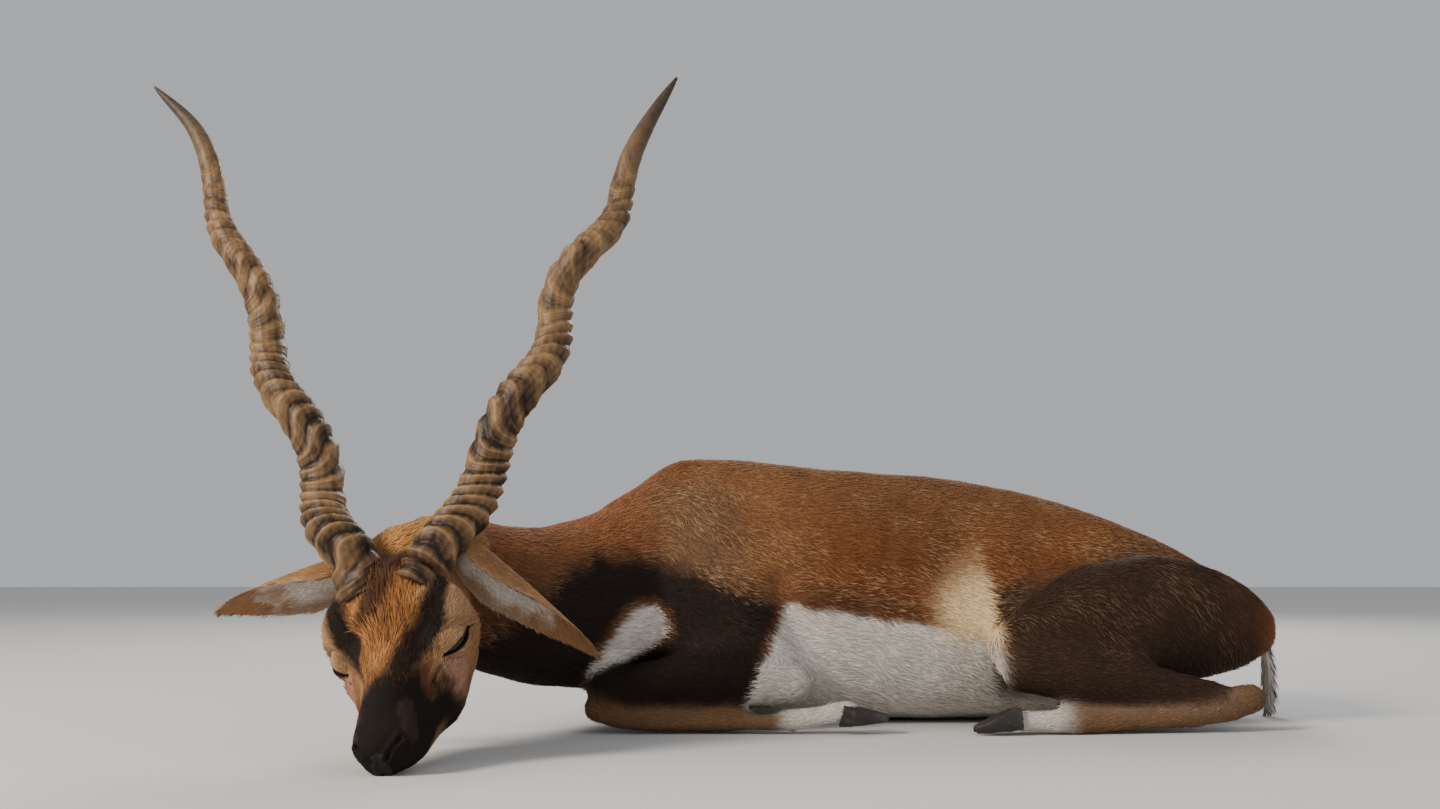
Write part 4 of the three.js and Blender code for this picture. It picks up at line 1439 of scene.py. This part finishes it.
def coat_piece(name, chosen_part, count):
    """Tufts over the skin, as close as the part's weight in each place."""
    a, b, c = (skin_points[skin_triangles[:, i]] for i in range(3))
    areas = np.linalg.norm(np.cross(b - a, c - a), axis=1)
    areas = areas * chosen_part[skin_triangles].mean(axis=1)
    chosen, shares = scatter(areas, count)

    def carried(values):
        return inside_triangles(shares, values[skin_triangles[chosen]])

    roots = carried(skin_points)
    normals = unit(carried(skin_normals))
    by_part = {key: carried(value[:, None])[:, 0] for key, value in skin_parts.items()}
    # lie and size of the hair
    flow = carried(skin_flow)
    drift = (noise(roots, 26, 1.7) - 0.5)[:, None] * np.cross(normals, flow) * FLOW_DRIFT
    flow = unit(flow + rng.normal(size=(count, 3)) * FLOW_JITTER + drift)
    length = part_value(by_part, "hair") * rng.uniform(0.7, 1.25, count)
    width = part_value(by_part, "width") * rng.uniform(0.75, 1.2, count)
    lift = part_value(by_part, "lift") * rng.uniform(0.5, 1.5, count)
    # longer on the forelock, round the horns and under the belly, shorter on the muzzle
    h = to_head(roots)
    x, y, z = h.T
    forelock = by_part["head"] * smooth(165, 120, x) * smooth(28, 16, np.abs(y)) * smooth(0, 20, z)
    muzzle = by_part["head"] * smooth(140, 170, x)
    collar = np.minimum(horn_distance(roots, 1), horn_distance(roots, -1))
    collar = by_part["head"] * smooth(34, 26, collar) * smooth(25, 40, z)
    belly = by_part["trunk"] * smooth(110, 40, roots[:, 2])
    length = length * (1 + 0.7 * forelock) * (1 - 0.4 * muzzle)
    length = length * (1 + 0.5 * collar) * (1 + 0.25 * belly)
    width = width * (1 - 0.25 * muzzle)
    lift = lift * (1 + 2.5 * collar)
    # colour: each tuft's own shade, darker at the root and grizzled at the tip
    colour = markings(roots, normals, by_part)
    on_ear = by_part["ear"] > 0.5
    colour[on_ear] = carried(skin_colours)[on_ear]
    strand = rng.random(count)
    bright = forelock * (1 - stroke(h, PARTING)) * (1 - stroke(mirrored(h), SHADED_HOLLOW))
    colour = mix(colour, ORANGE, bright * (strand < 0.35) * 0.6)
    colour = mix(colour, UMBER, forelock * (strand > 0.8) * 0.7)
    brightness = colour.mean(axis=1)
    tone = rng.normal(1, 0.12, count) * (0.86 + 0.28 * noise(roots, 7, 8.8))
    colour = colour * tone[:, None]
    pale = grizzle(roots, by_part) * smooth(0.4, 0.2, brightness) * smooth(0.008, 0.03, brightness)
    tip = mix(colour * TIP_TONE, GRIZZLED_TIP, pale)
    uvs = inside_triangles(shares, skin_uv_corners[chosen])
    colours = (colour * ROOT_TONE, tip)
    mesh = tuft_mesh(name, roots, normals, flow, (length, width, lift), colours, uvs)
    new_piece(name, mesh)


def hairy_skin():
    """Where hair grows: not on the nose pad or at the opening of an eye."""
    pad = polyline_distance(to_head(skin_points), PAD)[0]
    return smooth(7.5, 9, pad) * smooth(1.2, 2.6, lid_margin)


def coat_plan():
    """Each coat piece's weight over the skin, and how many tufts it has."""
    x = skin_points[:, 0]
    front = smooth(40, 56, to_head(skin_points)[:, 0])
    head = skin_parts["head"] * hairy_skin()
    trunk = skin_parts["trunk"]
    plan = {
        "coat_face": (head * front, 24500),
        "coat_crown": (head * (1 - front), 11500),
        "coat_ears": (skin_parts["ear"], 10000),
        "coat_neck": (skin_parts["neck"], 22000),
        "coat_chest": (trunk * (x < 110), 21000),
        "coat_flanks": (trunk * ((x >= 110) & (x < 330)), 24500),
        "coat_rump": (trunk * (x >= 330), 17000),
        "coat_shoulders": (skin_parts["fore_upper"], 17000),
        "coat_fore_legs": (part_sum(skin_parts, "fore_arm", "fore_cannon", "fore_pastern"), 13000),
        "coat_thighs": (skin_parts["hind_thigh"], 16000),
        "coat_hind_legs": (
            part_sum(skin_parts, "hind_shank", "hind_cannon", "hind_pastern", "tail"), 11000),
    }
    scale = 1
    return {key: (weight, int(count * scale)) for key, (weight, count) in plan.items()}


for coat_name, (coat_weight, coat_count) in coat_plan().items():
    coat_piece(coat_name, coat_weight, coat_count)


# Stage: a pale floor and soft light

FLOOR_SIZE = 12
FLOOR_COLOUR = (0.62, 0.61, 0.6, 1)
SKY_COLOUR = (0.86, 0.88, 0.92, 1)
SKY_STRENGTH = 0.55


def stage_floor():
    mesh = bpy.data.meshes.new("floor")
    with opened(mesh) as bm:
        bmesh.ops.create_grid(bm, x_segments=1, y_segments=1, size=FLOOR_SIZE)
    material, _, shader = new_material("floor_pale", roughness=0.9)
    shader.inputs["Base Color"].default_value = FLOOR_COLOUR
    mesh.materials.append(material)
    floor = add_object("floor", mesh)


# Lights: place, target, size, power and colour

LIGHTS = {
    "key": ((-2.6, -1.8, 2.0), (0, 0, 0.15), 1.0, 150, (1.0, 0.91, 0.79)),
    "fill": ((2.6, -2.4, 1.6), (0, 0, 0.15), 2.4, 22, (0.94, 0.97, 1.0)),
    "rim": ((0.6, 2.8, 2.2), (0, 0, 0.2), 1.6, 60, (1.0, 0.97, 0.92)),
}


def add_light(name, position, target, size, power, colour):
    data = bpy.data.lights.new(name, "AREA")
    data.shape = "DISK"
    data.size = size
    data.energy = power
    data.color = colour
    light = add_object(name, data)
    light.location = position
    direction = Vector(target) - Vector(position)
    light.rotation_euler = direction.to_track_quat("-Z", "Y").to_euler()


stage_floor()
for light_name, settings in LIGHTS.items():
    add_light(light_name, *settings)
world = bpy.data.worlds.new("studio")
bpy.context.scene.world = world
world.use_nodes = True
background = world.node_tree.nodes["Background"]
background.inputs["Color"].default_value = SKY_COLOUR
background.inputs["Strength"].default_value = SKY_STRENGTH

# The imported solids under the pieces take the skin's look

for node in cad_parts.values():
    node.data.materials.clear()
    node.data.materials.append(SKIN)
